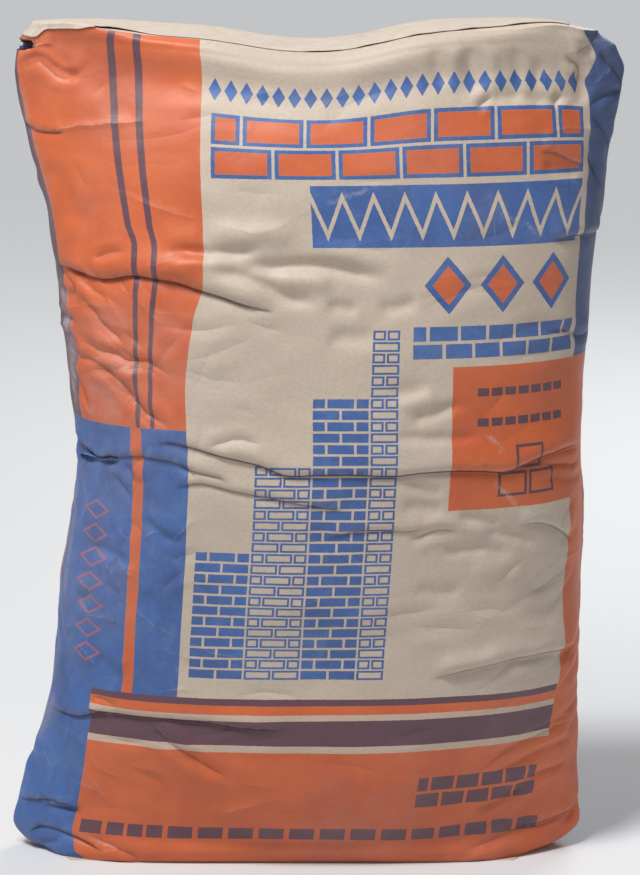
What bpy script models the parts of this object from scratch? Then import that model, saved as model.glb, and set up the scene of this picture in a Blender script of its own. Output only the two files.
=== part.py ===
"""A full paper sack of cement, standing on its glued bottom end.

The sack is a flat paper tube whose two ends are folded square, glued and covered with a paper
strip. Paper does not stretch, so at every height the bag is as deep as its fixed girth allows for
its width there: narrow and deep at the waist, wide and shallow near the two ends.

Frame: +Z up, the front faces -Y, the origin is on the floor under the middle of the bag.
"""

import math

import bmesh
import bpy
from mathutils import Vector

# Driving dimensions, in metres
HEIGHT = 0.690           # floor to the highest point of the top end
FLAT_WIDTH = 0.506       # the empty paper tube laid flat
END_DEPTH = 0.096        # front to back across the folded ends
PAPER = 0.0005           # the layers of sack paper together
GAP = 0.0003             # between two pieces that touch
HEADSPACE = 0.006        # empty paper above the settled cement

PATCH_SHARE = 0.90       # the share of each end's width that its glued strip covers
PATCH_WIDTH = 0.084      # front to back
PATCH_MARGIN = 0.006     # bare paper left around a strip where the end narrows

VALVE_LENGTH = 0.105     # the flattened filling tube under the left end of the top
VALVE_WIDTH = 0.066
VALVE_SLOT = 0.0010      # the space left inside it
VALVE_INSET = 0.016      # from the tip of the top's left end to the tube's mouth
SLIT_COLUMNS = 3         # how many columns of the mesh the valve slit takes on each side

# The outline from the front: height, left edge, right edge
OUTLINE = [
    (0.000, -0.228, 0.198),
    (0.006, -0.242, 0.214),
    (0.021, -0.251, 0.228),
    (0.050, -0.243, 0.227),
    (0.087, -0.231, 0.225),
    (0.139, -0.217, 0.223),
    (0.217, -0.206, 0.223),
    (0.294, -0.197, 0.224),
    (0.345, -0.193, 0.224),
    (0.408, -0.199, 0.226),
    (0.482, -0.203, 0.229),
    (0.531, -0.211, 0.233),
    (0.580, -0.222, 0.238),
    (0.628, -0.232, 0.247),
    (0.652, -0.235, 0.251),
    (0.676, -0.232, 0.244),
    (0.690, -0.222, 0.230),
]

# Dents in the top end, seen from above: place along X, half length, how deep it sinks
TOP_DENTS = [
    (-0.017, 0.060, 0.014),
    (0.038, 0.045, 0.007),
    (0.233, 0.030, 0.006),
    (-0.112, 0.050, 0.003),
]

# Big folds of the front: from X, Z to X, Z, how deep and how wide
FRONT_FOLDS = [
    ((-0.196, 0.508), (-0.033, 0.469), 0.006, 0.016),
    ((-0.132, 0.361), (0.028, 0.337), 0.005, 0.015),
    ((0.028, 0.337), (0.218, 0.360), 0.005, 0.015),
    ((-0.188, 0.370), (-0.063, 0.331), 0.003, 0.014),
    ((-0.178, 0.143), (-0.057, 0.128), 0.003, 0.014),
]

END_SQUARENESS = 7.0     # how square the folded ends are, 2 being a plain lens
END_FADE = 0.010         # the height over which that squareness dies away
PILLOW_RISE = 0.200      # the height over which the bag fills out from its ends
EDGE_ROUNDING = 0.30     # how much of the section is an ellipse, which rounds its two edges

COLUMNS = 44             # points around the bag, a multiple of 4
END_ROWS = [0.0, HEADSPACE, 0.013, 0.025, 0.045, 0.070]
MIDDLE_ROWS = 18
ACROSS_END = 4           # faces from front to back across an end
GIRTH_STEPS = 60


def smooth_step(value):
    t = min(max(value, 0.0), 1.0)
    return t * t * (3.0 - 2.0 * t)


def outline_at(height):
    """Left and right edge at a height, on a smooth curve through OUTLINE that never overshoots."""
    last = len(OUTLINE) - 2
    i = max(k for k in range(last + 1) if k == 0 or OUTLINE[k][0] <= height)
    span = OUTLINE[i + 1][0] - OUTLINE[i][0]
    t = (height - OUTLINE[i][0]) / span
    edges = []
    for side in (1, 2):
        start, end = OUTLINE[i][side], OUTLINE[i + 1][side]
        m0 = slope_at(i, side) * span
        m1 = slope_at(i + 1, side) * span
        edges.append((2 * t**3 - 3 * t**2 + 1) * start + (t**3 - 2 * t**2 + t) * m0
                     + (3 * t**2 - 2 * t**3) * end + (t**3 - t**2) * m1)
    return edges


def slope_at(i, side):
    """Slope of the outline at its point i: zero at a turning point or an end, else the mean."""
    if i == 0 or i == len(OUTLINE) - 1:
        return 0.0
    before = ((OUTLINE[i][side] - OUTLINE[i - 1][side]) / (OUTLINE[i][0] - OUTLINE[i - 1][0]))
    after = ((OUTLINE[i + 1][side] - OUTLINE[i][side]) / (OUTLINE[i + 1][0] - OUTLINE[i][0]))
    if before * after <= 0.0:
        return 0.0
    return 2.0 * before * after / (before + after)


def from_end(height):
    """Distance from a height to the nearer end of the bag."""
    return min(height, HEIGHT - height)


def exponents(height):
    """How the section's depth falls off from the middle to its edges: power inside, power outside."""
    pillow = smooth_step(from_end(height) / PILLOW_RISE)
    square = math.exp(-from_end(height) / END_FADE)
    inside = 2.0 + 0.7 * pillow + (END_SQUARENESS - 2.0) * square
    outside = 1.0 - 0.5 * pillow - 0.2 * square
    return inside, outside


def section_point(height, depth, angle):
    """A point of the section at a height, half as deep as depth in the middle. 0 is the right edge."""
    left, right = outline_at(height)
    inside, outside = exponents(height)
    along, across = math.cos(angle), math.sin(angle)
    reach = abs(along) ** (2.0 / inside)
    x = (left + right) / 2 + math.copysign(reach, along) * (right - left) / 2
    bulge = (1.0 - EDGE_ROUNDING) * abs(across) ** (2.0 * outside) + EDGE_ROUNDING * abs(across)
    return x, math.copysign(depth * bulge, across)


def girth(height, depth):
    points = [Vector(section_point(height, depth, math.pi * k / GIRTH_STEPS))
              for k in range(GIRTH_STEPS + 1)]
    return 2.0 * sum((b - a).length for a, b in zip(points, points[1:]))


def half_depth(height):
    """Half the bag's depth at a height, from its girth, and no deeper at the ends than the folds."""
    low, high = 0.0, 0.2
    for _ in range(30):
        middle = (low + high) / 2
        if girth(height, middle) < 2.0 * FLAT_WIDTH:
            low = middle
        else:
            high = middle
    limit = END_DEPTH / 2 + 1.1 * from_end(height)
    return 1.0 / (low**-6 + limit**-6) ** (1 / 6)


def top_dip(x):
    """How far the top end sinks below its highest point at x."""
    return sum(depth * math.exp(-((x - place) / length) ** 2) for place, length, depth in TOP_DENTS)


def fold_depth(x, z):
    """How far the folds of the front sink into it at a place."""
    here = Vector((x, z))
    sink = 0.0
    for start, end, depth, width in FRONT_FOLDS:
        start, end = Vector(start), Vector(end)
        along = min(max((here - start).dot(end - start) / (end - start).length_squared, 0.0), 1.0)
        away = (here - start.lerp(end, along)).length
        sink = max(sink, depth * math.exp(-(away / width) ** 2))
    return sink


def skin_point(height, depth, angle, foot):
    """A point of the bag's skin: the section, the sunken top, and the folds of the front."""
    x, y = section_point(height, depth, angle)
    z = foot + (HEIGHT - foot) * height / HEIGHT
    z -= top_dip(x) * smooth_step((height - 0.55) / (HEIGHT - 0.55))
    if y < 0.0:
        y += fold_depth(x, z) * abs(math.sin(angle))
    return Vector((x, y, z))


def row_heights(top):
    """Heights of the rows of points, closer together near the two ends, the last one at top."""
    lower = END_ROWS
    upper = [HEIGHT - h for h in reversed(END_ROWS)]
    step = (upper[0] - lower[-1]) / (MIDDLE_ROWS + 1)
    middle = [lower[-1] + step * (k + 1) for k in range(MIDDLE_ROWS)]
    return [h for h in lower + middle + upper if h < top - 1e-6] + [top]


def closed_skin(foot, top):
    """The bag's skin from its foot to the height top, closed at both ends with rows of quads."""
    skin = bmesh.new()
    rings = []
    for height in row_heights(top):
        depth = half_depth(height)
        rings.append([skin.verts.new(skin_point(height, depth, 2 * math.pi * k / COLUMNS, foot))
                      for k in range(COLUMNS)])
    for low, high in zip(rings, rings[1:]):
        for k in range(COLUMNS):
            after = (k + 1) % COLUMNS
            skin.faces.new((low[k], low[after], high[after]))
            skin.faces.new((low[k], high[after], high[k]))
    close_end(skin, rings[0])
    close_end(skin, rings[-1])
    bmesh.ops.recalc_face_normals(skin, faces=skin.faces)
    return skin, rings


def close_end(skin, ring):
    """Rows of faces across an end, from the back half of its ring to the front half."""
    half = COLUMNS // 2
    lines = [[ring[0]] * (ACROSS_END + 1)]
    for k in range(1, half):
        back, front = ring[k], ring[COLUMNS - k]
        inner = [skin.verts.new(back.co.lerp(front.co, j / ACROSS_END)) for j in range(1, ACROSS_END)]
        lines.append([back] + inner + [front])
    lines.append([ring[half]] * (ACROSS_END + 1))
    for a, b in zip(lines, lines[1:]):
        for j in range(ACROSS_END):
            for corners in ((a[j], b[j], b[j + 1]), (a[j], b[j + 1], a[j + 1])):
                if len(set(corners)) == 3:
                    skin.faces.new(corners)


def inset_points(skin, distance):
    """Where each point lies once every face has moved inward by a distance."""
    skin.normal_update()
    return {v: v.co - v.normal * v.calc_shell_factor() * distance for v in skin.verts}


def new_object(name, mesh_data, material):
    mesh = bpy.data.meshes.new(name)
    mesh_data.to_mesh(mesh)
    mesh_data.free()
    mesh.materials.append(material)
    thing = bpy.data.objects.new(name, mesh)
    bpy.context.scene.collection.objects.link(thing)
    return thing


def plain_material(name, colour, roughness):
    material = bpy.data.materials.new(name)
    material.use_nodes = True
    shader = material.node_tree.nodes["Principled BSDF"]
    shader.inputs["Base Color"].default_value = (*colour, 1.0)
    shader.inputs["Roughness"].default_value = roughness
    shader.inputs["Metallic"].default_value = 0.0
    return material


def paper_sack(foot, material):
    """The paper: the skin and a copy of it inside, joined around the open valve slit."""
    skin, rings = closed_skin(foot, HEIGHT)
    half = COLUMNS // 2
    low, high = rings[-2], rings[-1]
    slit = []
    for k in range(half - SLIT_COLUMNS, half + SLIT_COLUMNS):
        corners = {low[k], low[k + 1], high[k], high[k + 1]}
        slit += [face for face in low[k].link_faces if set(face.verts) <= corners]
    inner = {vert: skin.verts.new(place) for vert, place in inset_points(skin, PAPER).items()}
    outer_faces = list(skin.faces)
    for face in outer_faces:
        if face not in slit:
            skin.faces.new([inner[vert] for vert in reversed(face.verts)])
    bmesh.ops.delete(skin, geom=slit, context="FACES")
    rim = [edge for edge in skin.edges if edge.is_boundary and edge.verts[0] in inner]
    for edge in rim:
        a, b = edge.link_loops[0].vert, edge.link_loops[0].link_loop_next.vert
        skin.faces.new((b, a, inner[a], inner[b]))
    return new_object("paper_sack", skin, material)


def cement_fill(foot, material):
    """The powder, a little smaller than the inside of the paper and short of its top."""
    fill, _ = closed_skin(foot, HEIGHT - HEADSPACE)
    for vert, place in inset_points(fill, PAPER + GAP).items():
        vert.co = place
    return new_object("cement_fill", fill, material)


def end_columns(height, half_width):
    """Places along an end for a strip on it: x, and half the strip's width there."""
    depth = half_depth(height)
    columns = []
    for k in range(COLUMNS // 2, -1, -1):
        x, reach = section_point(height, depth, 2 * math.pi * k / COLUMNS)
        columns.append((x, min(half_width, reach - PATCH_MARGIN)))
    return columns


def patch_columns(height):
    """The columns that the glued strip covers, centred on its end."""
    left, right = outline_at(height)
    return [(x, reach) for x, reach in end_columns(height, PATCH_WIDTH / 2)
            if abs(x - (left + right) / 2) <= PATCH_SHARE * (right - left) / 2]


def closed_strip(columns, lower, upper):
    """A thin solid over the given columns, between two surfaces that give a height for each x."""
    strip = bmesh.new()
    rings = []
    for x, reach in columns:
        rings.append([strip.verts.new((x, -reach, lower(x))), strip.verts.new((x, reach, lower(x))),
                      strip.verts.new((x, reach, upper(x))), strip.verts.new((x, -reach, upper(x)))])
    for a, b in zip(rings, rings[1:]):
        for j in range(4):
            strip.faces.new((a[j], a[(j + 1) % 4], b[(j + 1) % 4], b[j]))
    strip.faces.new(rings[0])
    strip.faces.new(reversed(rings[-1]))
    bmesh.ops.recalc_face_normals(strip, faces=strip.faces)
    return strip


def bottom_end_patch(material):
    strip = closed_strip(patch_columns(0.0), lambda x: 0.0, lambda x: PAPER)
    return new_object("bottom_end_patch", strip, material)


def top_end_patch(material):
    strip = closed_strip(patch_columns(HEIGHT), lambda x: HEIGHT - top_dip(x) + GAP,
                         lambda x: HEIGHT - top_dip(x) + GAP + PAPER)
    return new_object("top_end_patch", strip, material)


def valve_sleeve(material):
    """A flattened paper tube under the top's left end, open at both ends."""
    left, _ = outline_at(HEIGHT)
    mouth = left + VALVE_INSET
    columns = [(x, reach) for x, reach in end_columns(HEIGHT, VALVE_WIDTH / 2)
               if mouth <= x <= mouth + VALVE_LENGTH]
    tube = bmesh.new()
    rings = []
    for x, reach in columns:
        roof = HEIGHT - top_dip(x) - PAPER - 2 * GAP
        floor = roof - 2 * PAPER - VALVE_SLOT
        outer = [(-reach, floor), (reach, floor), (reach, roof), (-reach, roof)]
        bore = [(-reach + PAPER, floor + PAPER), (reach - PAPER, floor + PAPER),
                (reach - PAPER, roof - PAPER), (-reach + PAPER, roof - PAPER)]
        rings.append(([tube.verts.new((x, y, z)) for y, z in outer],
                      [tube.verts.new((x, y, z)) for y, z in bore]))
    for a, b in zip(rings, rings[1:]):
        for wall in (0, 1):
            for j in range(4):
                after = (j + 1) % 4
                tube.faces.new((a[wall][j], a[wall][after], b[wall][after], b[wall][j]))
    for outer, bore in (rings[0], rings[-1]):
        for j in range(4):
            after = (j + 1) % 4
            tube.faces.new((outer[j], outer[after], bore[after], bore[j]))
    bmesh.ops.recalc_face_normals(tube, faces=tube.faces)
    return new_object("valve_sleeve", tube, material)


def main():
    for thing in list(bpy.data.objects):
        bpy.data.objects.remove(thing)
    foot = PAPER + GAP
    kraft = plain_material("kraft_paper", (0.50, 0.36, 0.26), 0.75)
    cement = plain_material("cement_powder", (0.30, 0.30, 0.29), 0.95)
    strip = plain_material("patch_paper", (0.52, 0.39, 0.29), 0.75)
    sleeve = plain_material("valve_paper", (0.46, 0.33, 0.23), 0.80)
    paper_sack(foot, kraft)
    cement_fill(foot, cement)
    bottom_end_patch(strip)
    top_end_patch(strip)
    valve_sleeve(sleeve)


main()
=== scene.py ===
import math

import bmesh
import bpy
import numpy as np
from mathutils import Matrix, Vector


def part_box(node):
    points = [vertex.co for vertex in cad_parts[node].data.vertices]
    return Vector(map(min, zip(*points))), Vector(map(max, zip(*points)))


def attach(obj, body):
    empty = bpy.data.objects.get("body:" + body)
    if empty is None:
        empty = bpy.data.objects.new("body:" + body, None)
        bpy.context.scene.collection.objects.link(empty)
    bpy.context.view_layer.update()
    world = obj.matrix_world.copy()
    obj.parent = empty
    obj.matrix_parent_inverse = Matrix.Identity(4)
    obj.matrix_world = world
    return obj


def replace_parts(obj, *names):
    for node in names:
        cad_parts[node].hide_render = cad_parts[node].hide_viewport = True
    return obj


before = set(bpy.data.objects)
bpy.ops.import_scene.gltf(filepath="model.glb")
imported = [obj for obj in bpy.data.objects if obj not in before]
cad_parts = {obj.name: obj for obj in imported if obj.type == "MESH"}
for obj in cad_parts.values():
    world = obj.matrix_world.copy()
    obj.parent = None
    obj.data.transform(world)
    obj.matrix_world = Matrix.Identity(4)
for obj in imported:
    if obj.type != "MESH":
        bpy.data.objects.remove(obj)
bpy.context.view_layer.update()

# Driving dimensions of the sack, in metres, as in the part
HEIGHT = 0.690           # floor to the highest point of the top end
FLAT_WIDTH = 0.506       # the empty paper tube laid flat
END_DEPTH = 0.096        # front to back across the folded ends
FOOT = 0.0008            # underside of the sack's own paper, above the bottom strip

# The outline from the front: height, left edge, right edge
OUTLINE = np.array([
    (0.000, -0.228, 0.198),
    (0.006, -0.242, 0.214),
    (0.021, -0.251, 0.228),
    (0.050, -0.243, 0.227),
    (0.087, -0.231, 0.225),
    (0.139, -0.217, 0.223),
    (0.217, -0.206, 0.223),
    (0.294, -0.197, 0.224),
    (0.345, -0.193, 0.224),
    (0.408, -0.199, 0.226),
    (0.482, -0.203, 0.229),
    (0.531, -0.211, 0.233),
    (0.580, -0.222, 0.238),
    (0.628, -0.232, 0.247),
    (0.652, -0.235, 0.251),
    (0.676, -0.232, 0.244),
    (0.690, -0.222, 0.230),
])

# Dents in the top end, seen from above: place along X, half length, how deep it sinks
TOP_DENTS = [
    (-0.017, 0.060, 0.014),
    (0.038, 0.045, 0.007),
    (0.233, 0.030, 0.006),
    (-0.112, 0.050, 0.003),
]

# Lines of the print on the front, which the folds pull out of straight: where a line was printed, from
# the paper's middle, and then where it is now: height, place
PRINT_GUIDES = [
    (-0.217, [(0.400, -0.217), (0.440, -0.222), (0.498, -0.2300), (0.611, -0.2470), (0.652, -0.2500)]),
    (-0.155, [(0.445, -0.155), (0.504, -0.153), (0.524, -0.159), (0.625, -0.168), (0.687, -0.170)]),
    (-0.095, [(0.375, -0.113), (0.447, -0.106), (0.491, -0.096), (0.526, -0.095), (0.670, -0.093)]),
    (0.098, [(0.311, 0.096), (0.426, 0.100)]),
    (0.217, [(0.239, 0.213), (0.275, 0.215), (0.431, 0.213), (0.525, 0.217), (0.578, 0.225),
             (0.638, 0.220), (0.651, 0.216), (0.675, 0.228)]),
]

# Colours of the paper and its inks, linear
BARE_KRAFT = (0.600, 0.530, 0.450)
ORANGE_INK = (0.620, 0.125, 0.034)
BLUE_INK = (0.045, 0.125, 0.360)
DARK_INK = (0.110, 0.055, 0.075)     # blue printed over orange
DUST = (0.460, 0.375, 0.380)
SCUFF = (0.700, 0.610, 0.540)

# The strip glued over the top end, and the valve's mouth below its left end
STRIP_RIGHT = 0.207      # its cut right end
STRIP_FRONT = -0.0400
STRIP_BACK = 0.0440
STRIP_PAPER = 0.0006
STRIP_CORNER = 0.072     # how far around the left end it reaches, from the bag's left edge
STRIP_LAP = 0.0042       # how far it turns down over the corners at the left end
STRIP_WRAP = 0.0125      # how far it turns down over the left end
MOUTH_HEIGHT = 0.6730    # the middle of the valve's mouth
MOUTH_HALF = 0.0038      # half its opening
MOUTH_REACH = 0.012      # half its width, along the paper
MOUTH_MIDDLE = 0.008     # its middle, along the paper from the left edge, the front being +
MOUTH_DEPTH = 0.016      # how far its paper goes in

END_SQUARENESS = 7.0     # how square the folded ends are, 2 being a plain lens
END_FADE = 0.010         # the height over which that squareness dies away
LEAN = 0.006             # how far the front's top edge leans back
LEAN_FADE = 0.028        # the height over which that dies away
PILLOW_RISE = 0.200      # the height over which the bag fills out from its ends
EDGE_ROUNDING = 0.30     # how much of the section is an ellipse, which rounds its two edges

# The mesh
FRONT_COLUMNS = 216      # faces across the front, an even number
BACK_COLUMNS = FRONT_COLUMNS // 2
ROW_STEP = 0.0025
ACROSS_END = 12          # faces from front to back across an end
EDGE_CROWDING = 0.35     # how much closer together the columns are at the two side edges
LIP = 0.0003             # half the step between the two rows of points along a tucked fold
LINE_FADE = 0.050        # how far past a tuck's ends the rows keep following it
MARKS = ("tuck", "lip", "dust", "scuff", "hollow")
LAYERS = 5               # sets of fold lines that keep clear of each other, for drawing them finer
LINE_REACH = 0.0060      # how far beside a fold its line is known
WALL_SHARE = 0.8         # the share of the UV square's height that the walls take

# The photograph's camera, for placing what is seen in it: its frame is 640 by 875 pixels
PHOTO_WIDTH, PHOTO_HEIGHT = 640, 875
CAMERA_PLACE = np.array([0.008, -2.400, 0.860])
CAMERA_TILT = math.radians(11.97)
CAMERA_FOCAL = 2984.5    # in pixels


def smooth_step(value):
    t = np.clip(value, 0.0, 1.0)
    return t * t * (3.0 - 2.0 * t)


def curve_through(xs, ys, at):
    """A smooth curve through points that never overshoots them."""
    xs, ys = np.asarray(xs, float), np.asarray(ys, float)
    steps = np.diff(xs)
    rises = np.diff(ys) / steps
    slopes = np.zeros(len(xs))
    for i in range(1, len(xs) - 1):
        if rises[i - 1] * rises[i] > 0.0:
            slopes[i] = 2.0 * rises[i - 1] * rises[i] / (rises[i - 1] + rises[i])
    i = np.clip(np.searchsorted(xs, at, side="right") - 1, 0, len(steps) - 1)
    t = np.clip((at - xs[i]) / steps[i], 0.0, 1.0)
    return ((2 * t**3 - 3 * t**2 + 1) * ys[i] + (t**3 - 2 * t**2 + t) * steps[i] * slopes[i]
            + (3 * t**2 - 2 * t**3) * ys[i + 1] + (t**3 - t**2) * steps[i] * slopes[i + 1])


def from_end(height):
    return np.minimum(height, HEIGHT - height)


def section(height, depth, angle):
    """Points of the horizontal section at a height. Angle 0 is the right edge, pi the left."""
    left = curve_through(OUTLINE[:, 0], OUTLINE[:, 1], height)
    right = curve_through(OUTLINE[:, 0], OUTLINE[:, 2], height)
    pillow = smooth_step(from_end(height) / PILLOW_RISE)
    square = np.exp(-from_end(height) / END_FADE)
    inside = 2.0 + 0.7 * pillow + (END_SQUARENESS - 2.0) * square
    outside = 1.0 - 0.5 * pillow - 0.2 * square
    along, across = np.cos(angle), np.sin(angle)
    x = (left + right) / 2 + np.sign(along) * np.abs(along) ** (2.0 / inside) * (right - left) / 2
    bulge = (1.0 - EDGE_ROUNDING) * np.abs(across) ** (2.0 * outside) + EDGE_ROUNDING * np.abs(across)
    return x, np.sign(across) * depth * bulge


def half_depths(heights):
    """Half the bag's depth at each height, from the paper's girth."""
    angles = np.linspace(0.0, math.pi, 121)[None]
    low, high = np.zeros(len(heights)), np.full(len(heights), 0.2)
    for _ in range(30):
        middle = (low + high) / 2
        x, y = section(heights[:, None], middle[:, None], angles)
        girth = 2.0 * np.hypot(np.diff(x, axis=1), np.diff(y, axis=1)).sum(axis=1)
        short = girth < 2.0 * FLAT_WIDTH
        low, high = np.where(short, middle, low), np.where(short, high, middle)
    limit = END_DEPTH / 2 + 1.1 * from_end(heights)
    return 1.0 / (low**-6 + limit**-6) ** (1 / 6)


def top_dip(x):
    return sum(depth * np.exp(-((x - place) / length) ** 2) for place, length, depth in TOP_DENTS)


def rest_points(heights, fractions, back=False):
    """Points of the smooth skin. A fraction runs across the paper from the left edge to the right."""
    turn = (math.pi, 0.0) if back else (math.pi, 2.0 * math.pi)
    angles = np.linspace(*turn, 901)[None]
    x, y = section(heights[:, None], half_depths(heights)[:, None], angles)
    walk = np.hypot(np.diff(x, axis=1), np.diff(y, axis=1)).cumsum(axis=1)
    walk = np.hstack([np.zeros((len(heights), 1)), walk / walk[:, -1:]])
    xs = np.array([np.interp(fractions, walk[i], x[i]) for i in range(len(heights))])
    ys = np.array([np.interp(fractions, walk[i], y[i]) for i in range(len(heights))])
    lift = FOOT + (HEIGHT - FOOT) * heights[:, None] / HEIGHT
    zs = lift - top_dip(xs) * smooth_step((heights[:, None] - 0.55) / (HEIGHT - 0.55))
    return np.stack([xs, ys, zs], axis=-1)


def crowded(count):
    """Fractions from 0 to 1, closer together at both ends."""
    t = np.linspace(0.0, 1.0, count + 1)
    return t - EDGE_CROWDING * np.sin(2.0 * math.pi * t) / (2.0 * math.pi)


def row_heights():
    """Heights of the rows, crowded where the walls turn into the two ends."""
    near = np.array([0.0, 0.0006, 0.0014, 0.0025, 0.0040, 0.0058, 0.0078, 0.0100])
    count = int(round((HEIGHT - 2 * near[-1]) / ROW_STEP))
    middle = np.linspace(near[-1], HEIGHT - near[-1], count + 1)[1:-1]
    mouth = np.linspace(MOUTH_HEIGHT - 0.0055, MOUTH_HEIGHT + 0.0045, 11)
    middle = middle[middle < mouth[0] - 0.0012]
    return np.concatenate([near, middle, mouth, HEIGHT - near[::-1][1:]])


def to_photo(points):
    """Where points fall in the photograph, in its pixels."""
    away = points - CAMERA_PLACE
    ahead = away @ np.array([0.0, math.cos(CAMERA_TILT), -math.sin(CAMERA_TILT)])
    above = away @ np.array([0.0, math.sin(CAMERA_TILT), math.cos(CAMERA_TILT)])
    return (PHOTO_WIDTH / 2 + CAMERA_FOCAL * away[..., 0] / ahead,
            PHOTO_HEIGHT / 2 - CAMERA_FOCAL * above / ahead)


class Skin:
    """The sack's outer surface as a grid: rows up the bag, columns around it from the left edge."""

    def __init__(self):
        self.heights = row_heights()
        front = crowded(FRONT_COLUMNS)
        back = crowded(BACK_COLUMNS)[::-1]
        self.rest = np.concatenate([rest_points(self.heights, front),
                                    rest_points(self.heights, back, back=True)[:, 1:-1]], axis=1)
        # how far around the paper a column is, in metres from the left edge
        self.around = np.concatenate([front, 2.0 - back[1:-1]]) * FLAT_WIDTH
        self.rows, self.columns = len(self.heights), len(self.around)
        self.s = np.broadcast_to(self.around, (self.rows, self.columns))
        self.t = np.broadcast_to(self.heights[:, None], (self.rows, self.columns))
        self.push = np.zeros((self.rows, self.columns))
        self.drop = np.zeros((self.rows, self.columns))
        self.marks = {name: np.zeros((self.rows, self.columns)) for name in MARKS}
        self.tuck_gap = np.ones((self.rows, self.columns))
        self.line_side = np.zeros((LAYERS, self.rows, self.columns))
        self.line_force = np.zeros((LAYERS, self.rows, self.columns))
        self.photo = np.stack(to_photo(self.rest[:, :FRONT_COLUMNS + 1]), axis=-1)

    def follow(self, lines):
        """Slides the rows along the paper so that a pair of them runs along each line."""
        girth = 2.0 * FLAT_WIDTH
        default = np.array(self.t)
        everywhere = np.ones(self.columns, bool)
        placed = [(0, everywhere), (self.rows - 1, everywhere)]
        counted = np.arange(self.rows)
        for line in lines:
            line = spline(line)
            line = line[np.argsort(line[:, 0])]
            centre = line[:, 0].mean()
            around = (self.around - centre + girth / 2) % girth - girth / 2 + centre
            hold = 1.0 - smooth_step(np.maximum(line[0, 0] - around, around - line[-1, 0]) / LINE_FADE)
            middle = line[len(line) // 2]
            nearest = int(np.argmin(np.abs(around - middle[0])))
            row = int(np.searchsorted(default[:, nearest], middle[1])) - 1
            rivals = [r for r, columns in placed if (columns & (hold > 0.0)).any()]
            below = max(r for r in rivals if r <= row)
            above = min(r for r in rivals if r > row)
            row = min(max(row, below + 3), above - 4)
            inside = np.interp(around, line[:, 0], line[:, 1])
            for column in np.flatnonzero(hold > 0.0):
                heights = default[:, column]
                lower = hold[column] * (inside[column] - LIP - heights[row])
                upper = hold[column] * (inside[column] + LIP - heights[row + 1])
                heights = heights + np.interp(counted, [below, row, row + 1, above], [0.0, lower, upper, 0.0])
                default[:, column] = np.maximum.accumulate(heights + 1e-4 * counted) - 1e-4 * counted
            placed += [(row, hold > 0.0), (row + 1, hold > 0.0)]
        default = np.clip(default, 0.0, HEIGHT)
        for column in range(self.columns):
            for axis in range(3):
                self.rest[:, column, axis] = np.interp(default[:, column], self.heights,
                                                       self.rest[:, column, axis])
        self.t = default

    def keep_line(self, near, side, force):
        """Keeps a fold's exact line in the first layer that is free there, if there is one."""
        close = np.abs(side) < LINE_REACH
        rows, columns = np.nonzero(near)
        rows, columns, side, force = rows[close], columns[close], side[close], force[close]
        force = force * (1.0 - smooth_step((np.abs(side) / LINE_REACH - 0.5) / 0.45))
        for k in range(LAYERS):
            if np.abs(self.line_force[k, rows, columns]).max(initial=0.0) < 0.02:
                self.line_side[k, rows, columns] = side
                self.line_force[k, rows, columns] = force
                return

    def normals(self, points):
        around = np.roll(points, -1, axis=1) - np.roll(points, 1, axis=1)
        up = np.gradient(points, axis=0)
        out = np.cross(around, up)
        return out / np.maximum(np.linalg.norm(out, axis=-1, keepdims=True), 1e-12)

    def place(self, px, py):
        """The place on the paper, (around, height), of a pixel of the photograph."""
        away = np.hypot(self.photo[..., 0] - px, self.photo[..., 1] - py)
        row, column = np.unravel_index(np.argmin(away), away.shape)
        row = min(max(row, 1), self.rows - 2)
        column = min(max(column, 1), FRONT_COLUMNS - 1)
        up = (self.photo[row + 1, column] - self.photo[row - 1, column]) / 2
        across = (self.photo[row, column + 1] - self.photo[row, column - 1]) / 2
        rest = np.array([px, py]) - self.photo[row, column]
        steps = np.linalg.lstsq(np.stack([across, up], axis=1), rest, rcond=None)[0]
        steps = np.clip(steps, -1.5, 1.5)
        return (self.around[column] + steps[0] * (self.around[column + 1] - self.around[column - 1]) / 2,
                self.heights[row] + steps[1] * (self.heights[row + 1] - self.heights[row - 1]) / 2)


def spline(points, step=0.003):
    """Points every few millimetres along a smooth curve through the given ones."""
    points = np.asarray(points, float)
    if len(points) == 2:
        points = np.array([points[0], points.mean(axis=0), points[1]])
    padded = np.vstack([2 * points[0] - points[1], points, 2 * points[-1] - points[-2]])
    line = []
    for a, b, c, d in zip(padded, padded[1:], padded[2:], padded[3:]):
        count = max(2, int(np.linalg.norm(c - b) / step))
        t = np.linspace(0.0, 1.0, count, endpoint=False)[:, None]
        line.append(0.5 * (2 * b + (c - a) * t + (2 * a - 5 * b + 4 * c - d) * t**2
                           + (3 * b - a - 3 * c + d) * t**3))
    line.append(points[-1:])
    return np.vstack(line)


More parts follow.
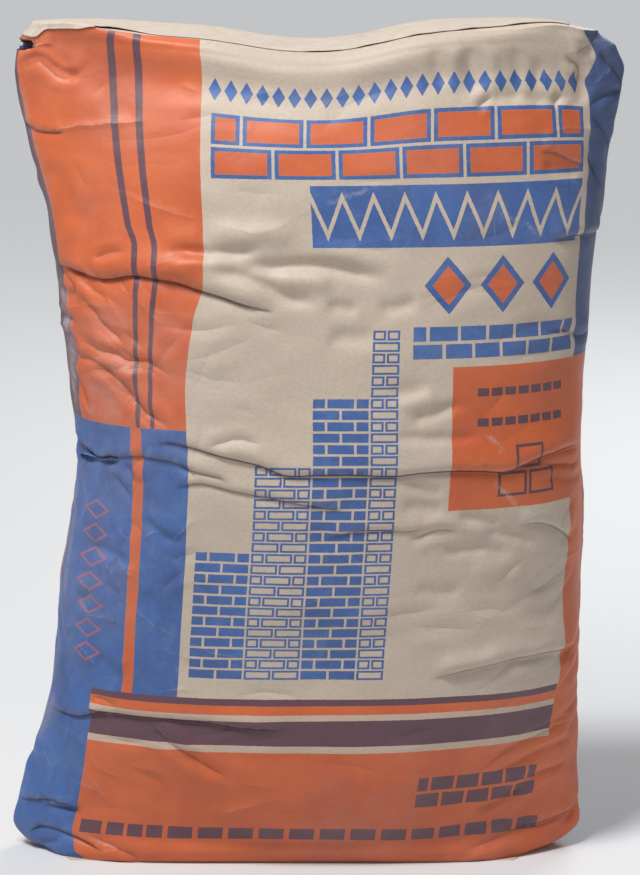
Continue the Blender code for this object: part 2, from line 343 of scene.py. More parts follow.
def beside(skin, line, reach):
    """For the skin near a line: which points, how far beside it (left is +), how far along (0 to 1)."""
    girth = 2.0 * FLAT_WIDTH
    centre = line[:, 0].mean()
    s = (skin.s - centre + girth / 2) % girth - girth / 2
    path = line - np.array([centre, 0.0])
    low, high = path.min(axis=0) - reach, path.max(axis=0) + reach
    near = (s >= low[0]) & (s <= high[0]) & (skin.t >= low[1]) & (skin.t <= high[1])
    here = np.stack([s[near], skin.t[near]], axis=-1)
    starts, spans = path[:-1], np.diff(path, axis=0)
    lengths = np.linalg.norm(spans, axis=1)
    walked = np.concatenate([[0.0], np.cumsum(lengths)])
    best = np.full(len(here), np.inf)
    side, along = np.zeros(len(here)), np.zeros(len(here))
    for start, span, length, before in zip(starts, spans, lengths, walked):
        if length < 1e-9:
            continue
        away = here - start
        t = np.clip(away @ span / length**2, 0.0, 1.0)
        miss = away - t[:, None] * span
        gap = np.linalg.norm(miss, axis=1)
        closer = gap < best
        turn = span[0] * away[:, 1] - span[1] * away[:, 0]
        best[closer] = gap[closer]
        side[closer] = (np.sign(turn) * gap)[closer]
        along[closer] = ((before + t * length) / walked[-1])[closer]
    return near, side, along


def fold(skin, line, depth, width, kind, fade=0.25, wobble=None):
    """Presses one fold into the skin, along a line of (around, height) points."""
    line = spline(line)
    if wobble is not None:
        steps = wobble.normal(size=len(line))
        steps = np.convolve(steps, np.ones(5) / 5, mode="same") * 0.0016
        line = line + np.stack([steps * 0.4, steps], axis=1)
    near, side, along = beside(skin, line, 6.0 * width)
    if not near.any():
        return
    strength = smooth_step(along / fade) * smooth_step((1.0 - along) / fade)
    away = np.abs(side)
    if kind == "crease":
        shape = -np.exp(-away / width) + 0.55 * np.exp(-((away - 2.4 * width) / (1.3 * width)) ** 2)
    elif kind == "tuck":
        upper = side > 0.0
        roll = 0.75 * away / width * np.exp(1.0 - away / width)
        over = roll + 0.25 * np.exp(-away / (0.3 * width)) - 0.45 * np.exp(-away / (0.5 * width))
        shape = np.where(upper, over, -0.60 * np.exp(-away / (0.8 * width)))
        skin.drop[near] += np.where(upper, strength * 0.30 * depth * np.exp(-away / (0.5 * width)), 0.0)
        closer = away < skin.tuck_gap[near]
        skin.tuck_gap[near] = np.where(closer, away, skin.tuck_gap[near])
        # how dark the tuck's painted shadow line is, kept from the nearest tuck
        darkness = strength * min(depth / 0.0042, 1.0) ** 2
        skin.marks["tuck"][near] = np.where(closer, darkness, skin.marks["tuck"][near])
        lip = np.where(upper, strength * np.exp(-away / 0.0025), 0.0)
        skin.marks["lip"][near] = np.maximum(skin.marks["lip"][near], lip)
    elif kind == "step":
        shape = np.tanh(side / width) * np.exp(-((away / (4.0 * width)) ** 2))
    elif kind == "ridge":
        shape = np.exp(-away / width)
    elif kind == "swell":
        shape = np.exp(-((away / width) ** 2))
    elif kind == "dent":
        shape = -np.exp(-((away / width) ** 2))
    else:
        mark = depth * strength * np.exp(-((away / width) ** 2))
        skin.marks[kind][near] = np.maximum(skin.marks[kind][near], mark)
        return
    skin.push[near] += depth * strength * shape
    if kind in SHARP:
        skin.keep_line(near, side, SHARP[kind] * strength * min(depth / 0.0025, 1.0))


def soft_noise(rng, skin, cell_s, cell_t):
    """Smooth noise over the paper, from -1 to 1, that closes around the bag."""
    girth = 2.0 * FLAT_WIDTH
    count_s = max(3, int(round(girth / cell_s)))
    count_t = int(math.ceil(HEIGHT / cell_t)) + 3
    lattice = rng.uniform(-1.0, 1.0, size=(count_t, count_s))
    u = skin.s / girth * count_s
    v = skin.t / cell_t
    i, j = np.floor(v).astype(int), np.floor(u).astype(int)
    a, b = smooth_step(v - i), smooth_step(u - j)
    j0, j1 = j % count_s, (j + 1) % count_s
    low = lattice[i, j0] * (1 - b) + lattice[i, j1] * b
    high = lattice[i + 1, j0] * (1 - b) + lattice[i + 1, j1] * b
    return low * (1 - a) + high * a


# How the fine line along a fold stands out: above 0 for a worn ridge, below 0 for a crease darkened by painted
# shade and dirt
SHARP = {"crease": -1.0, "ridge": 0.7}


# Folds of the front, placed by the photograph's pixels: kind, depth, width, points. A tuck is paper
# folded over itself, a step has its upper side raised, and dust and scuff only mark the paper.
PHOTO_FOLDS = [
    # tucks, the longest first
    ("tuck", 0.0044, 0.0060, [(143, 447), (155, 444), (168, 443), (185, 446), (200, 450), (220, 456), (240, 461),
                              (260, 466), (275, 472), (290, 476), (320, 475), (350, 475), (395, 476), (420, 473),
                              (450, 471), (480, 471), (505, 472), (522, 466), (540, 458), (556, 452), (570, 447),
                              (583, 441)]),
    ("tuck", 0.0066, 0.0085, [(60, 263), (70, 266), (82, 271), (98, 277), (112, 278), (133, 275), (160, 279),
                              (180, 283), (200, 290), (220, 296), (240, 303), (260, 309), (278, 313)]),
    ("tuck", 0.0030, 0.0045, [(88, 453), (101, 458), (115, 457), (135, 456), (150, 458),
                              (170, 461), (180, 465), (190, 470), (205, 474), (220, 478), (231, 484)]),
    ("tuck", 0.0032, 0.0050, [(172, 489), (188, 485), (200, 484), (215, 487), (230, 491), (250, 495), (270, 498),
                              (290, 503), (310, 506), (330, 509), (348, 514)]),
    ("tuck", 0.0026, 0.0045, [(326, 541), (340, 535), (360, 531), (385, 531), (405, 532), (428, 529)]),
    ("tuck", 0.0042, 0.0060, [(50, 703), (60, 711), (75, 716), (92, 714), (105, 712), (120, 714), (135, 716),
                              (160, 718), (185, 721), (205, 723), (230, 727), (260, 730), (292, 731)]),
    ("tuck", 0.0034, 0.0060, [(430, 680), (460, 672), (490, 664), (520, 657), (545, 652), (560, 649), (576, 644)]),
    ("tuck", 0.0036, 0.0050, [(552, 241), (560, 239), (570, 236), (584, 234), (597, 230)]),
    ("tuck", 0.0026, 0.0040, [(24, 119), (30, 125), (37, 130), (48, 132), (64, 132)]),
    ("tuck", 0.0026, 0.0045, [(540, 151), (550, 152), (560, 155), (568, 159), (583, 165)]),
    ("tuck", 0.0034, 0.0045, [(20, 797), (30, 799), (50, 799), (65, 804), (80, 809)]),
    ("tuck", 0.0032, 0.0045, [(28, 832), (40, 826), (55, 828), (70, 834), (85, 841), (105, 852)]),
    # the shoulder on the left
    ("crease", 0.0020, 0.0030, [(97, 262), (99, 257), (104, 254), (112, 252), (126, 251)]),
    ("crease", 0.0016, 0.0030, [(62, 265), (76, 269), (90, 273)]),
    ("swell", 0.0022, 0.0100, [(160, 236), (185, 238), (205, 236)]),
    ("swell", 0.0030, 0.0070, [(150, 268), (175, 266), (205, 262), (235, 258)]),
    ("dent", 0.0046, 0.0050, [(165, 248), (185, 251), (205, 253), (232, 253), (266, 250)]),
    ("swell", 0.0036, 0.0090, [(200, 234), (250, 233), (300, 235)]),
    ("dent", 0.0048, 0.0054, [(232, 270), (260, 266), (290, 265), (320, 266), (345, 269), (370, 276), (392, 284)]),
    ("dent", 0.0042, 0.0048, [(205, 271), (230, 274), (250, 279), (264, 285), (280, 294), (300, 301), (324, 305)]),
    ("swell", 0.0032, 0.0070, [(270, 280), (300, 281), (335, 286)]),
    ("swell", 0.0020, 0.0080, [(300, 250), (350, 254), (390, 262)]),
    ("dent", 0.0030, 0.0056, [(326, 305), (345, 307), (360, 311)]),
    ("dent", 0.0030, 0.0060, [(376, 311), (400, 307), (420, 300)]),
    ("dent", 0.0030, 0.0080, [(326, 333), (350, 336), (380, 338)]),
    ("dent", 0.0020, 0.0070, [(388, 395), (410, 391), (430, 387)]),
    ("dent", 0.0034, 0.0050, [(408, 425), (420, 419), (434, 414), (448, 408), (466, 404)]),
    ("swell", 0.0020, 0.0060, [(392, 408), (415, 402), (440, 395)]),
    ("dent", 0.0026, 0.0048, [(386, 439), (410, 438), (430, 439), (450, 438), (486, 436)]),
    # diagonal folds below it
    ("crease", 0.0020, 0.0032, [(80, 296), (90, 305), (103, 322), (115, 335), (129, 351)]),
    ("crease", 0.0024, 0.0036, [(78, 338), (100, 350), (118, 355), (130, 362), (150, 362), (160, 368), (177, 379)]),
    ("crease", 0.0026, 0.0036, [(67, 338), (78, 355), (100, 364), (115, 375), (127, 388), (135, 400), (146, 413),
                                (162, 422), (178, 434)]),
    ("swell", 0.0018, 0.0060, [(82, 330), (104, 340), (126, 352)]),
    ("swell", 0.0020, 0.0060, [(90, 356), (118, 366), (140, 384)]),
    ("crease", 0.0022, 0.0030, [(61, 265), (68, 275), (76, 286), (72, 300)]),
    ("crease", 0.0022, 0.0030, [(61, 308), (70, 316), (78, 324)]),
    ("crease", 0.0020, 0.0030, [(72, 330), (76, 350), (74, 372)]),
    ("crease", 0.0014, 0.0030, [(80, 372), (104, 368), (130, 368), (154, 368)]),
    ("dent", 0.0018, 0.0060, [(148, 300), (168, 318), (186, 330)]),
    # the waist
    ("crease", 0.0030, 0.0034, [(66, 430), (73, 436), (79, 445), (88, 452), (99, 459)]),
    ("crease", 0.0018, 0.0028, [(101, 460), (112, 461), (120, 460)]),
    ("crease", 0.0020, 0.0030, [(124, 461), (130, 472), (137, 486)]),
    ("crease", 0.0016, 0.0030, [(103, 463), (106, 476), (108, 492)]),
    ("crease", 0.0018, 0.0030, [(112, 474), (122, 488), (132, 502)]),
    ("crease", 0.0018, 0.0032, [(205, 445), (225, 442), (246, 441), (264, 444)]),
    ("crease", 0.0018, 0.0030, [(180, 464), (188, 471), (196, 479)]),
    ("crease", 0.0020, 0.0034, [(543, 465), (560, 464), (580, 461)]),
    ("dent", 0.0026, 0.0045, [(540, 478), (560, 478), (582, 476)]),
    ("dent", 0.0024, 0.0050, [(405, 482), (425, 488), (446, 494)]),
    ("dent", 0.0024, 0.0060, [(400, 508), (425, 508), (448, 510)]),
    ("dent", 0.0024, 0.0045, [(456, 518), (480, 523), (504, 524)]),
    ("swell", 0.0018, 0.0060, [(420, 520), (460, 528), (500, 528)]),
    ("crease", 0.0020, 0.0034, [(406, 543), (422, 538), (438, 532), (462, 535)]),
    ("dent", 0.0026, 0.0050, [(436, 556), (458, 551), (480, 549), (500, 552), (516, 556)]),
    ("dent", 0.0020, 0.0060, [(412, 590), (440, 593), (464, 595)]),
    ("tuck", 0.0028, 0.0050, [(518, 527), (535, 523), (550, 525), (560, 530), (572, 539)]),
    ("dent", 0.0022, 0.0045, [(480, 534), (500, 533), (520, 537), (542, 541)]),
    ("dent", 0.0026, 0.0160, [(540, 570), (548, 600), (545, 630)]),
    ("swell", 0.0018, 0.0100, [(470, 566), (500, 572), (530, 566)]),
    # the blue side
    ("dent", 0.0032, 0.0045, [(140, 515), (155, 530), (170, 539), (186, 545)]),
    ("dent", 0.0030, 0.0048, [(82, 540), (100, 550), (118, 558), (134, 567)]),
    ("swell", 0.0020, 0.0060, [(146, 510), (164, 524), (184, 532)]),
    ("dent", 0.0022, 0.0050, [(142, 590), (152, 604), (158, 622)]),
    ("dent", 0.0022, 0.0060, [(76, 590), (92, 602), (112, 612)]),
    ("dent", 0.0024, 0.0056, [(86, 645), (104, 664), (120, 682), (128, 692)]),
    ("swell", 0.0020, 0.0060, [(98, 640), (114, 656), (128, 670)]),
    ("dent", 0.0018, 0.0070, [(60, 655), (74, 672), (90, 690)]),
    # the lower left and the bottom
    ("crease", 0.0022, 0.0034, [(92, 695), (103, 700), (118, 704)]),
    ("crease", 0.0028, 0.0040, [(138, 718), (150, 727), (162, 737), (175, 748), (190, 757), (200, 763), (216, 774),
                                (234, 788)]),
    ("swell", 0.0020, 0.0060, [(150, 722), (172, 738), (196, 752)]),
    ("crease", 0.0022, 0.0030, [(40, 807), (60, 806), (84, 814)]),
    ("crease", 0.0026, 0.0034, [(30, 847), (45, 843), (62, 839)]),
    ("crease", 0.0022, 0.0034, [(84, 836), (104, 842), (128, 852), (146, 862)]),
    ("dent", 0.0018, 0.0140, [(150, 800), (200, 806), (260, 800)]),
    # the lower right, where fine folds run up to the right
    ("swell", 0.0026, 0.0070, [(430, 668), (470, 660), (510, 652)]),
    ("crease", 0.0014, 0.0030, [(486, 758), (520, 744), (550, 730), (572, 720)]),
    ("crease", 0.0014, 0.0030, [(494, 772), (524, 760), (556, 744), (574, 736)]),
    ("crease", 0.0012, 0.0030, [(520, 736), (545, 726), (570, 714)]),
    ("crease", 0.0014, 0.0030, [(520, 782), (544, 772), (572, 758)]),
    ("crease", 0.0016, 0.0030, [(470, 812), (500, 800), (530, 782)]),
    ("tuck", 0.0032, 0.0045, [(528, 826), (545, 821), (560, 815), (576, 807)]),
    ("crease", 0.0022, 0.0034, [(540, 852), (560, 842), (580, 829)]),
    ("crease", 0.0022, 0.0040, [(462, 852), (490, 840), (512, 832), (536, 822)]),
    ("dent", 0.0020, 0.0060, [(440, 836), (480, 828), (516, 816)]),
    # the top right corner and the soft pleats beside it
    ("step", -0.0030, 0.0036, [(597, 42), (586, 50), (578, 57), (569, 57)]),
    ("crease", 0.0026, 0.0036, [(566, 53), (573, 60), (580, 67), (578, 84)]),
    ("dent", 0.0030, 0.0080, [(584, 72), (582, 90), (586, 104)]),
    ("crease", 0.0022, 0.0034, [(570, 56), (584, 50), (597, 38), (600, 28)]),
    ("crease", 0.0024, 0.0034, [(598, 44), (606, 58), (616, 72), (622, 88)]),
    ("crease", 0.0024, 0.0034, [(588, 108), (600, 98), (612, 92), (622, 90)]),
    ("crease", 0.0020, 0.0034, [(590, 112), (602, 126), (612, 146)]),
    ("ridge", 0.0020, 0.0034, [(594, 84), (604, 76), (612, 66)]),
    ("crease", 0.0020, 0.0034, [(586, 150), (596, 168), (604, 190)]),
    ("crease", 0.0024, 0.0030, [(476, 107), (484, 101), (493, 96)]),
    ("crease", 0.0018, 0.0030, [(553, 108), (557, 101), (562, 94)]),
    ("dent", 0.0026, 0.0050, [(478, 105), (492, 98), (520, 97), (556, 99), (574, 96)]),
    ("dent", 0.0018, 0.0060, [(438, 44), (436, 66), (440, 92)]),
    ("dent", 0.0020, 0.0060, [(472, 42), (470, 70), (474, 98)]),
    ("dent", 0.0018, 0.0060, [(514, 44), (518, 76), (512, 108)]),
    ("dent", 0.0020, 0.0060, [(540, 56), (536, 84), (544, 112)]),
    ("swell", 0.0016, 0.0060, [(455, 44), (454, 70), (456, 96)]),
    ("swell", 0.0018, 0.0060, [(494, 44), (492, 70), (495, 96)]),
    ("dent", 0.0030, 0.0060, [(541, 164), (560, 168), (580, 174)]),
    ("dent", 0.0020, 0.0070, [(590, 126), (596, 160), (590, 200)]),
    ("crease", 0.0016, 0.0034, [(545, 336), (560, 331), (576, 334), (592, 330)]),
    # the top left corner
    ("swell", 0.0024, 0.0032, [(16, 66), (22, 58), (32, 52), (42, 53), (54, 60), (66, 67), (86, 68)]),
    ("step", 0.0026, 0.0030, [(84, 73), (74, 76), (62, 74), (50, 66), (40, 59), (28, 63), (20, 66)]),
    ("crease", 0.0015, 0.0030, [(18, 70), (26, 67), (36, 62), (42, 62), (50, 68), (60, 78), (68, 80), (86, 69)]),
    ("ridge", 0.0016, 0.0040, [(22, 54), (30, 47), (40, 43), (54, 43)]),
    ("swell", 0.0020, 0.0070, [(46, 50), (66, 58), (90, 66)]),
    ("ridge", 0.0022, 0.0034, [(46, 129), (78, 126), (110, 123), (150, 120)]),
    ("dent", 0.0018, 0.0100, [(96, 96), (116, 106), (140, 110)]),
    ("dent", 0.0020, 0.0140, [(46, 160), (62, 190), (76, 230)]),
    # marks without a fold
    ("dust", 0.40, 0.0100, [(84, 384), (104, 392), (126, 402)]),
    ("dust", 0.36, 0.0120, [(84, 404), (106, 412), (130, 416)]),
    ("dust", 1.00, 0.0080, [(62, 264), (66, 300), (70, 340), (76, 420)]),
    ("dust", 0.35, 0.0050, [(22, 60), (26, 110), (44, 180), (60, 258)]),
    ("dust", 0.30, 0.0300, [(92, 292), (112, 350), (120, 420)]),
    ("dust", 0.20, 0.0260, [(150, 300), (170, 350), (176, 410)]),
    ("dust", 0.6, 0.0050, [(66, 450), (74, 500), (70, 560), (64, 620)]),
    ("dust", 0.5, 0.0100, [(34, 740), (44, 720), (56, 690)]),
    ("scuff", 1.0, 0.0014, [(486, 432), (496, 443), (505, 456)]),
    ("scuff", 1.0, 0.0015, [(491, 479), (500, 488), (512, 500), (526, 511), (548, 521)]),
    ("scuff", 0.7, 0.0012, [(488, 200), (506, 214), (528, 226), (548, 238)]),
    ("scuff", 0.7, 0.0012, [(322, 205), (350, 196), (384, 180)]),
    ("scuff", 0.8, 0.0012, [(104, 366), (130, 367), (154, 368)]),
    ("scuff", 0.6, 0.0012, [(32, 790), (44, 800), (66, 803)]),
]


# Folds of the back and the sides, which the photograph doesn't show: kind, depth, width, and points in
# metres around the paper from the left edge and up. The back is from 0.506 to 1.012.
HIDDEN_FOLDS = [
    ("tuck", 0.0040, 0.0060, [(0.520, 0.372), (0.560, 0.360), (0.610, 0.352), (0.660, 0.354), (0.715, 0.362)]),
    ("tuck", 0.0036, 0.0056, [(0.690, 0.338), (0.740, 0.344), (0.800, 0.340), (0.850, 0.330)]),
    ("tuck", 0.0042, 0.0060, [(0.868, 0.378), (0.910, 0.366), (0.960, 0.368), (1.000, 0.380)]),
    ("tuck", 0.0044, 0.0066, [(0.884, 0.520), (0.930, 0.508), (0.970, 0.502), (1.004, 0.506)]),
    ("tuck", 0.0036, 0.0056, [(0.530, 0.512), (0.580, 0.500), (0.640, 0.503)]),
    ("tuck", 0.0036, 0.0056, [(0.540, 0.196), (0.600, 0.186), (0.660, 0.190), (0.720, 0.184)]),
    ("tuck", 0.0036, 0.0056, [(0.850, 0.166), (0.910, 0.156), (0.970, 0.160)]),
    ("tuck", 0.0030, 0.0045, [(0.590, 0.052), (0.640, 0.046), (0.690, 0.050)]),
    ("tuck", 0.0030, 0.0045, [(0.880, 0.058), (0.930, 0.048), (0.975, 0.052)]),
    ("crease", 0.0026, 0.0040, [(0.535, 0.380), (0.580, 0.400), (0.620, 0.428), (0.650, 0.462)]),
    ("crease", 0.0024, 0.0040, [(0.548, 0.352), (0.590, 0.330), (0.640, 0.318)]),
    ("crease", 0.0024, 0.0040, [(0.985, 0.392), (0.950, 0.420), (0.925, 0.460), (0.905, 0.500)]),
    ("crease", 0.0022, 0.0036, [(0.990, 0.430), (0.960, 0.452), (0.935, 0.486)]),
    ("crease", 0.0024, 0.0040, [(0.990, 0.350), (0.950, 0.330), (0.900, 0.322), (0.860, 0.318)]),
    ("crease", 0.0022, 0.0036, [(0.545, 0.540), (0.585, 0.566), (0.620, 0.602), (0.632, 0.640)]),
    ("crease", 0.0022, 0.0036, [(0.990, 0.560), (0.955, 0.590), (0.930, 0.628), (0.922, 0.655)]),
    ("crease", 0.0024, 0.0040, [(0.545, 0.160), (0.590, 0.130), (0.620, 0.090), (0.630, 0.052)]),
    ("crease", 0.0024, 0.0040, [(0.975, 0.150), (0.945, 0.120), (0.930, 0.080)]),
    ("dent", 0.0036, 0.0070, [(0.560, 0.448), (0.620, 0.440), (0.690, 0.446), (0.760, 0.440)]),
    ("dent", 0.0030, 0.0060, [(0.700, 0.404), (0.760, 0.398), (0.830, 0.404)]),
    ("swell", 0.0028, 0.0080, [(0.600, 0.420), (0.680, 0.422), (0.760, 0.418)]),
    ("dent", 0.0034, 0.0070, [(0.580, 0.286), (0.660, 0.280), (0.730, 0.288), (0.800, 0.280)]),
    ("dent", 0.0028, 0.0060, [(0.780, 0.246), (0.850, 0.240), (0.920, 0.250)]),
    ("swell", 0.0024, 0.0080, [(0.640, 0.260), (0.720, 0.262), (0.800, 0.264)]),
    ("dent", 0.0030, 0.0060, [(0.620, 0.560), (0.700, 0.552), (0.780, 0.560), (0.860, 0.552)]),
    ("dent", 0.0026, 0.0060, [(0.660, 0.640), (0.664, 0.610), (0.656, 0.580)]),
    ("dent", 0.0026, 0.0060, [(0.820, 0.645), (0.816, 0.615), (0.826, 0.585)]),
    ("dent", 0.0030, 0.0070, [(0.640, 0.120), (0.720, 0.112), (0.800, 0.120), (0.860, 0.112)]),
    ("ridge", 0.0024, 0.0034, [(0.506, 0.640), (0.509, 0.600), (0.505, 0.560), (0.508, 0.520)]),
    ("ridge", 0.0022, 0.0034, [(0.508, 0.340), (0.504, 0.290), (0.508, 0.240), (0.505, 0.190)]),
    ("ridge", 0.0024, 0.0034, [(1.010, 0.640), (1.006, 0.590), (1.011, 0.540)]),
    ("ridge", 0.0022, 0.0034, [(1.010, 0.330), (1.007, 0.270), (1.011, 0.200), (1.008, 0.120)]),
    ("dust", 0.7, 0.0120, [(0.560, 0.320), (0.620, 0.300), (0.700, 0.296)]),
    ("dust", 0.7, 0.0080, [(1.008, 0.640), (1.006, 0.500), (1.010, 0.350), (1.006, 0.150)]),
    ("dust", 0.7, 0.0080, [(0.508, 0.640), (0.506, 0.500), (0.509, 0.350), (0.506, 0.150)]),
    ("dust", 0.7, 0.0140, [(0.760, 0.470), (0.820, 0.500), (0.880, 0.560)]),
    ("scuff", 0.8, 0.0014, [(0.640, 0.380), (0.690, 0.402), (0.720, 0.430)]),
    ("scuff", 0.7, 0.0013, [(0.860, 0.440), (0.830, 0.410), (0.812, 0.370)]),
]


def add_placed_folds(skin, rng):
    placed = [(kind, depth, width, [skin.place(px, py) for px, py in pixels])
              for kind, depth, width, pixels in PHOTO_FOLDS]
    placed += [(kind, depth * (1.3 if kind in ("dent", "swell", "crease") else 1.0), width, line)
               for kind, depth, width, line in HIDDEN_FOLDS]
    skin.follow([line for kind, _, _, line in placed if kind == "tuck"])
    for kind, depth, width, line in placed:
        fold(skin, line, depth, width, kind, fade=0.15 if kind == "tuck" else 0.25,
             wobble=None if kind == "tuck" else rng)


def add_scattered_creases(skin, rng, count, around, up, slant, length, depth, width):
    """Small random creases and ridges in a patch of the paper. Each pair of numbers is a range."""
    for _ in range(count):
        middle = np.array([rng.uniform(*around), rng.uniform(*up)])
        turn = math.radians(rng.uniform(*slant))
        half = rng.uniform(*length) / 2
        reach = half * np.array([math.cos(turn), math.sin(turn)])
        bow = rng.normal(0.0, 0.12) * half * np.array([-math.sin(turn), math.cos(turn)])
        kind = "crease" if rng.random() < 0.62 else "ridge"
        fold(skin, [middle - reach, middle + bow, middle + reach], rng.uniform(*depth),
             rng.uniform(*width), kind, fade=0.45, wobble=rng)


def shape_skin():
    """The whole sack: the smooth skin, its folds and its waves."""
    skin = Skin()
    rng = np.random.default_rng(7)
    add_placed_folds(skin, rng)
    ends = smooth_step(from_end(skin.t) / 0.02)
    skin.push += 0.0022 * soft_noise(rng, skin, 0.110, 0.080) * ends
    skin.push += 0.0011 * soft_noise(rng, skin, 0.060, 0.034) * ends
    skin.push += 0.0005 * soft_noise(rng, skin, 0.028, 0.018) * ends
    girth = 2.0 * FLAT_WIDTH
    add_scattered_creases(skin, rng, 150, (0.0, girth), (0.03, 0.66), (-25, 25), (0.03, 0.10),
                          (0.0003, 0.0012), (0.003, 0.006))
    add_scattered_creases(skin, rng, 60, (0.0, girth), (0.03, 0.66), (-80, 80), (0.02, 0.06),
                          (0.0003, 0.0009), (0.0025, 0.005))
    add_scattered_creases(skin, rng, 70, (0.53, 0.99), (0.04, 0.65), (-35, 35), (0.03, 0.13),
                          (0.0008, 0.0020), (0.0030, 0.0050))
    add_scattered_creases(skin, rng, 30, (0.005, 0.150), (0.10, 0.355), (-70, 70), (0.02, 0.06),
                          (0.0006, 0.0014), (0.0028, 0.0042))
    add_scattered_creases(skin, rng, 34, (0.012, 0.120), (0.375, 0.500), (-60, -15), (0.02, 0.07),
                          (0.0005, 0.0013), (0.0028, 0.0042))
    add_scattered_creases(skin, rng, 30, (0.400, 0.500), (0.02, 0.30), (15, 45), (0.03, 0.09),
                          (0.0005, 0.0012), (0.0028, 0.0045))
    add_scattered_creases(skin, rng, 24, (0.0, 0.12), (0.06, 0.40), (-60, -20), (0.02, 0.06),
                          (0.0006, 0.0014), (0.0030, 0.0045))
    middle = smooth_step(skin.s / 0.060) * smooth_step((FLAT_WIDTH - skin.s) / 0.060)
    skin.push -= LEAN * np.exp((skin.t - HEIGHT) / LEAN_FADE) * middle * (skin.s < FLAT_WIDTH)
    mouth_pocket(skin)
    points = skin.rest + skin.normals(skin.rest) * skin.push[..., None]
    points[..., 2] -= skin.drop
    points[..., 2] = np.maximum(points[..., 2], FOOT)
    skin.points = points
    return skin


def mouth_pocket(skin):
    """Presses the valve's mouth into the left end, under the strip, and marks it for its painted shade."""
    girth = 2.0 * FLAT_WIDTH
    around = (skin.s + girth / 2) % girth - girth / 2 - MOUTH_MIDDLE
    half = (MOUTH_HALF + 0.0004) * np.sqrt(np.clip(1.0 - (around / MOUTH_REACH) ** 2, 0.0, 1.0))
    open_share = 1.0 - smooth_step((np.abs(skin.t - MOUTH_HEIGHT) - half) / 0.0014 + 1.0)
    open_share *= 1.0 - smooth_step((np.abs(around) - MOUTH_REACH + 0.002) / 0.002)
    # where the mouth opens, which the material paints in shade
    skin.marks["hollow"] = open_share
    skin.push = skin.push * (1.0 - open_share) - (MOUTH_DEPTH + 0.002) * open_share


def print_places(skin):
    """Where on the flat print each point is: across from 0 to 1, front then back, and up."""
    across = np.array(skin.s)
    across = np.hstack([across, np.full((skin.rows, 1), 2.0 * FLAT_WIDTH)])
    for row in range(skin.rows):
        front = across[row, :FRONT_COLUMNS + 1] - FLAT_WIDTH / 2
        printed = [-FLAT_WIDTH / 2] + [place for place, _ in PRINT_GUIDES] + [FLAT_WIDTH / 2]
        now = [curve_through([h for h, _ in line], [s for _, s in line],
                             np.clip(skin.heights[row], line[0][0], line[-1][0]))
               for _, line in PRINT_GUIDES]
        now = [-FLAT_WIDTH / 2] + [float(place) for place in now] + [FLAT_WIDTH / 2]
        across[row, :FRONT_COLUMNS + 1] = np.interp(front, now, printed) + FLAT_WIDTH / 2
    up = np.hstack([skin.t, skin.t[:, :1]])
    return across / (2.0 * FLAT_WIDTH), up / HEIGHT * WALL_SHARE


def across_end(skin, row):
    """Lines of points across an end, from each back point to the front point opposite it."""
    front = skin.points[row, :FRONT_COLUMNS + 1:2]
    back = skin.points[row, FRONT_COLUMNS:]
    back = np.vstack([back, skin.points[row, :1]])[::-1]
    t = np.linspace(0.0, 1.0, ACROSS_END + 1)[1:-1]
    return back[:, None] + (front - back)[:, None] * t[None, :, None]


def end_faces(front, back, inner):
    """The faces of one end: the front edge has twice as many points as the back edge."""
    faces = []
    for j in range(BACK_COLUMNS):
        a = [back[j]] + (inner[j - 1] if j > 0 else [])
        b = [back[j + 1]] + (inner[j] if j < BACK_COLUMNS - 1 else [])
        tip, middle, after = front[2 * j], front[2 * j + 1], front[2 * j + 2]
        if j == 0:
            faces += [(a[0], b[k], b[k + 1]) for k in range(len(b) - 1)]
            faces += [(a[0], b[-1], middle), (b[-1], after, middle)]
        elif j == BACK_COLUMNS - 1:
            faces += [(a[k], b[0], a[k + 1]) for k in range(len(a) - 1)]
            faces += [(a[-1], b[0], middle), (a[-1], middle, tip)]
        else:
            faces += [(a[k], b[k], b[k + 1], a[k + 1]) for k in range(len(a) - 1)]
            faces += [(a[-1], middle, tip), (a[-1], b[-1], middle), (b[-1], after, middle)]
    return faces


def sack_mesh(skin):
    """The closed mesh of the sack, with its place on the flat print as UV."""
    mesh = bmesh.new()
    uv = mesh.loops.layers.uv.new("paper")
    across, up = print_places(skin)
    rings = [[mesh.verts.new(p) for p in row] for row in skin.points]
    for i, (low, high) in enumerate(zip(rings, rings[1:])):
        for k in range(skin.columns):
            after = (k + 1) % skin.columns
            face = mesh.faces.new((low[k], low[after], high[after], high[k]))
            places = ((i, k), (i, k + 1), (i + 1, k + 1), (i + 1, k))
            for loop, place in zip(face.loops, places):
                loop[uv].uv = (across[place], up[place])
    for ring, row, base in ((rings[0], 0, 0.86), (rings[-1], -1, 0.95)):
        inner = [[mesh.verts.new(p) for p in line] for line in across_end(skin, row)[1:-1]]
        front = ring[:FRONT_COLUMNS + 1]
        back = (ring[FRONT_COLUMNS:] + ring[:1])[::-1]
        for corners in end_faces(front, back, inner):
            face = mesh.faces.new(corners)
            for loop in face.loops:
                loop[uv].uv = (0.5 + 0.8 * loop.vert.co.x, base + 0.6 * loop.vert.co.y)
    bmesh.ops.recalc_face_normals(mesh, faces=mesh.faces)
    return mesh


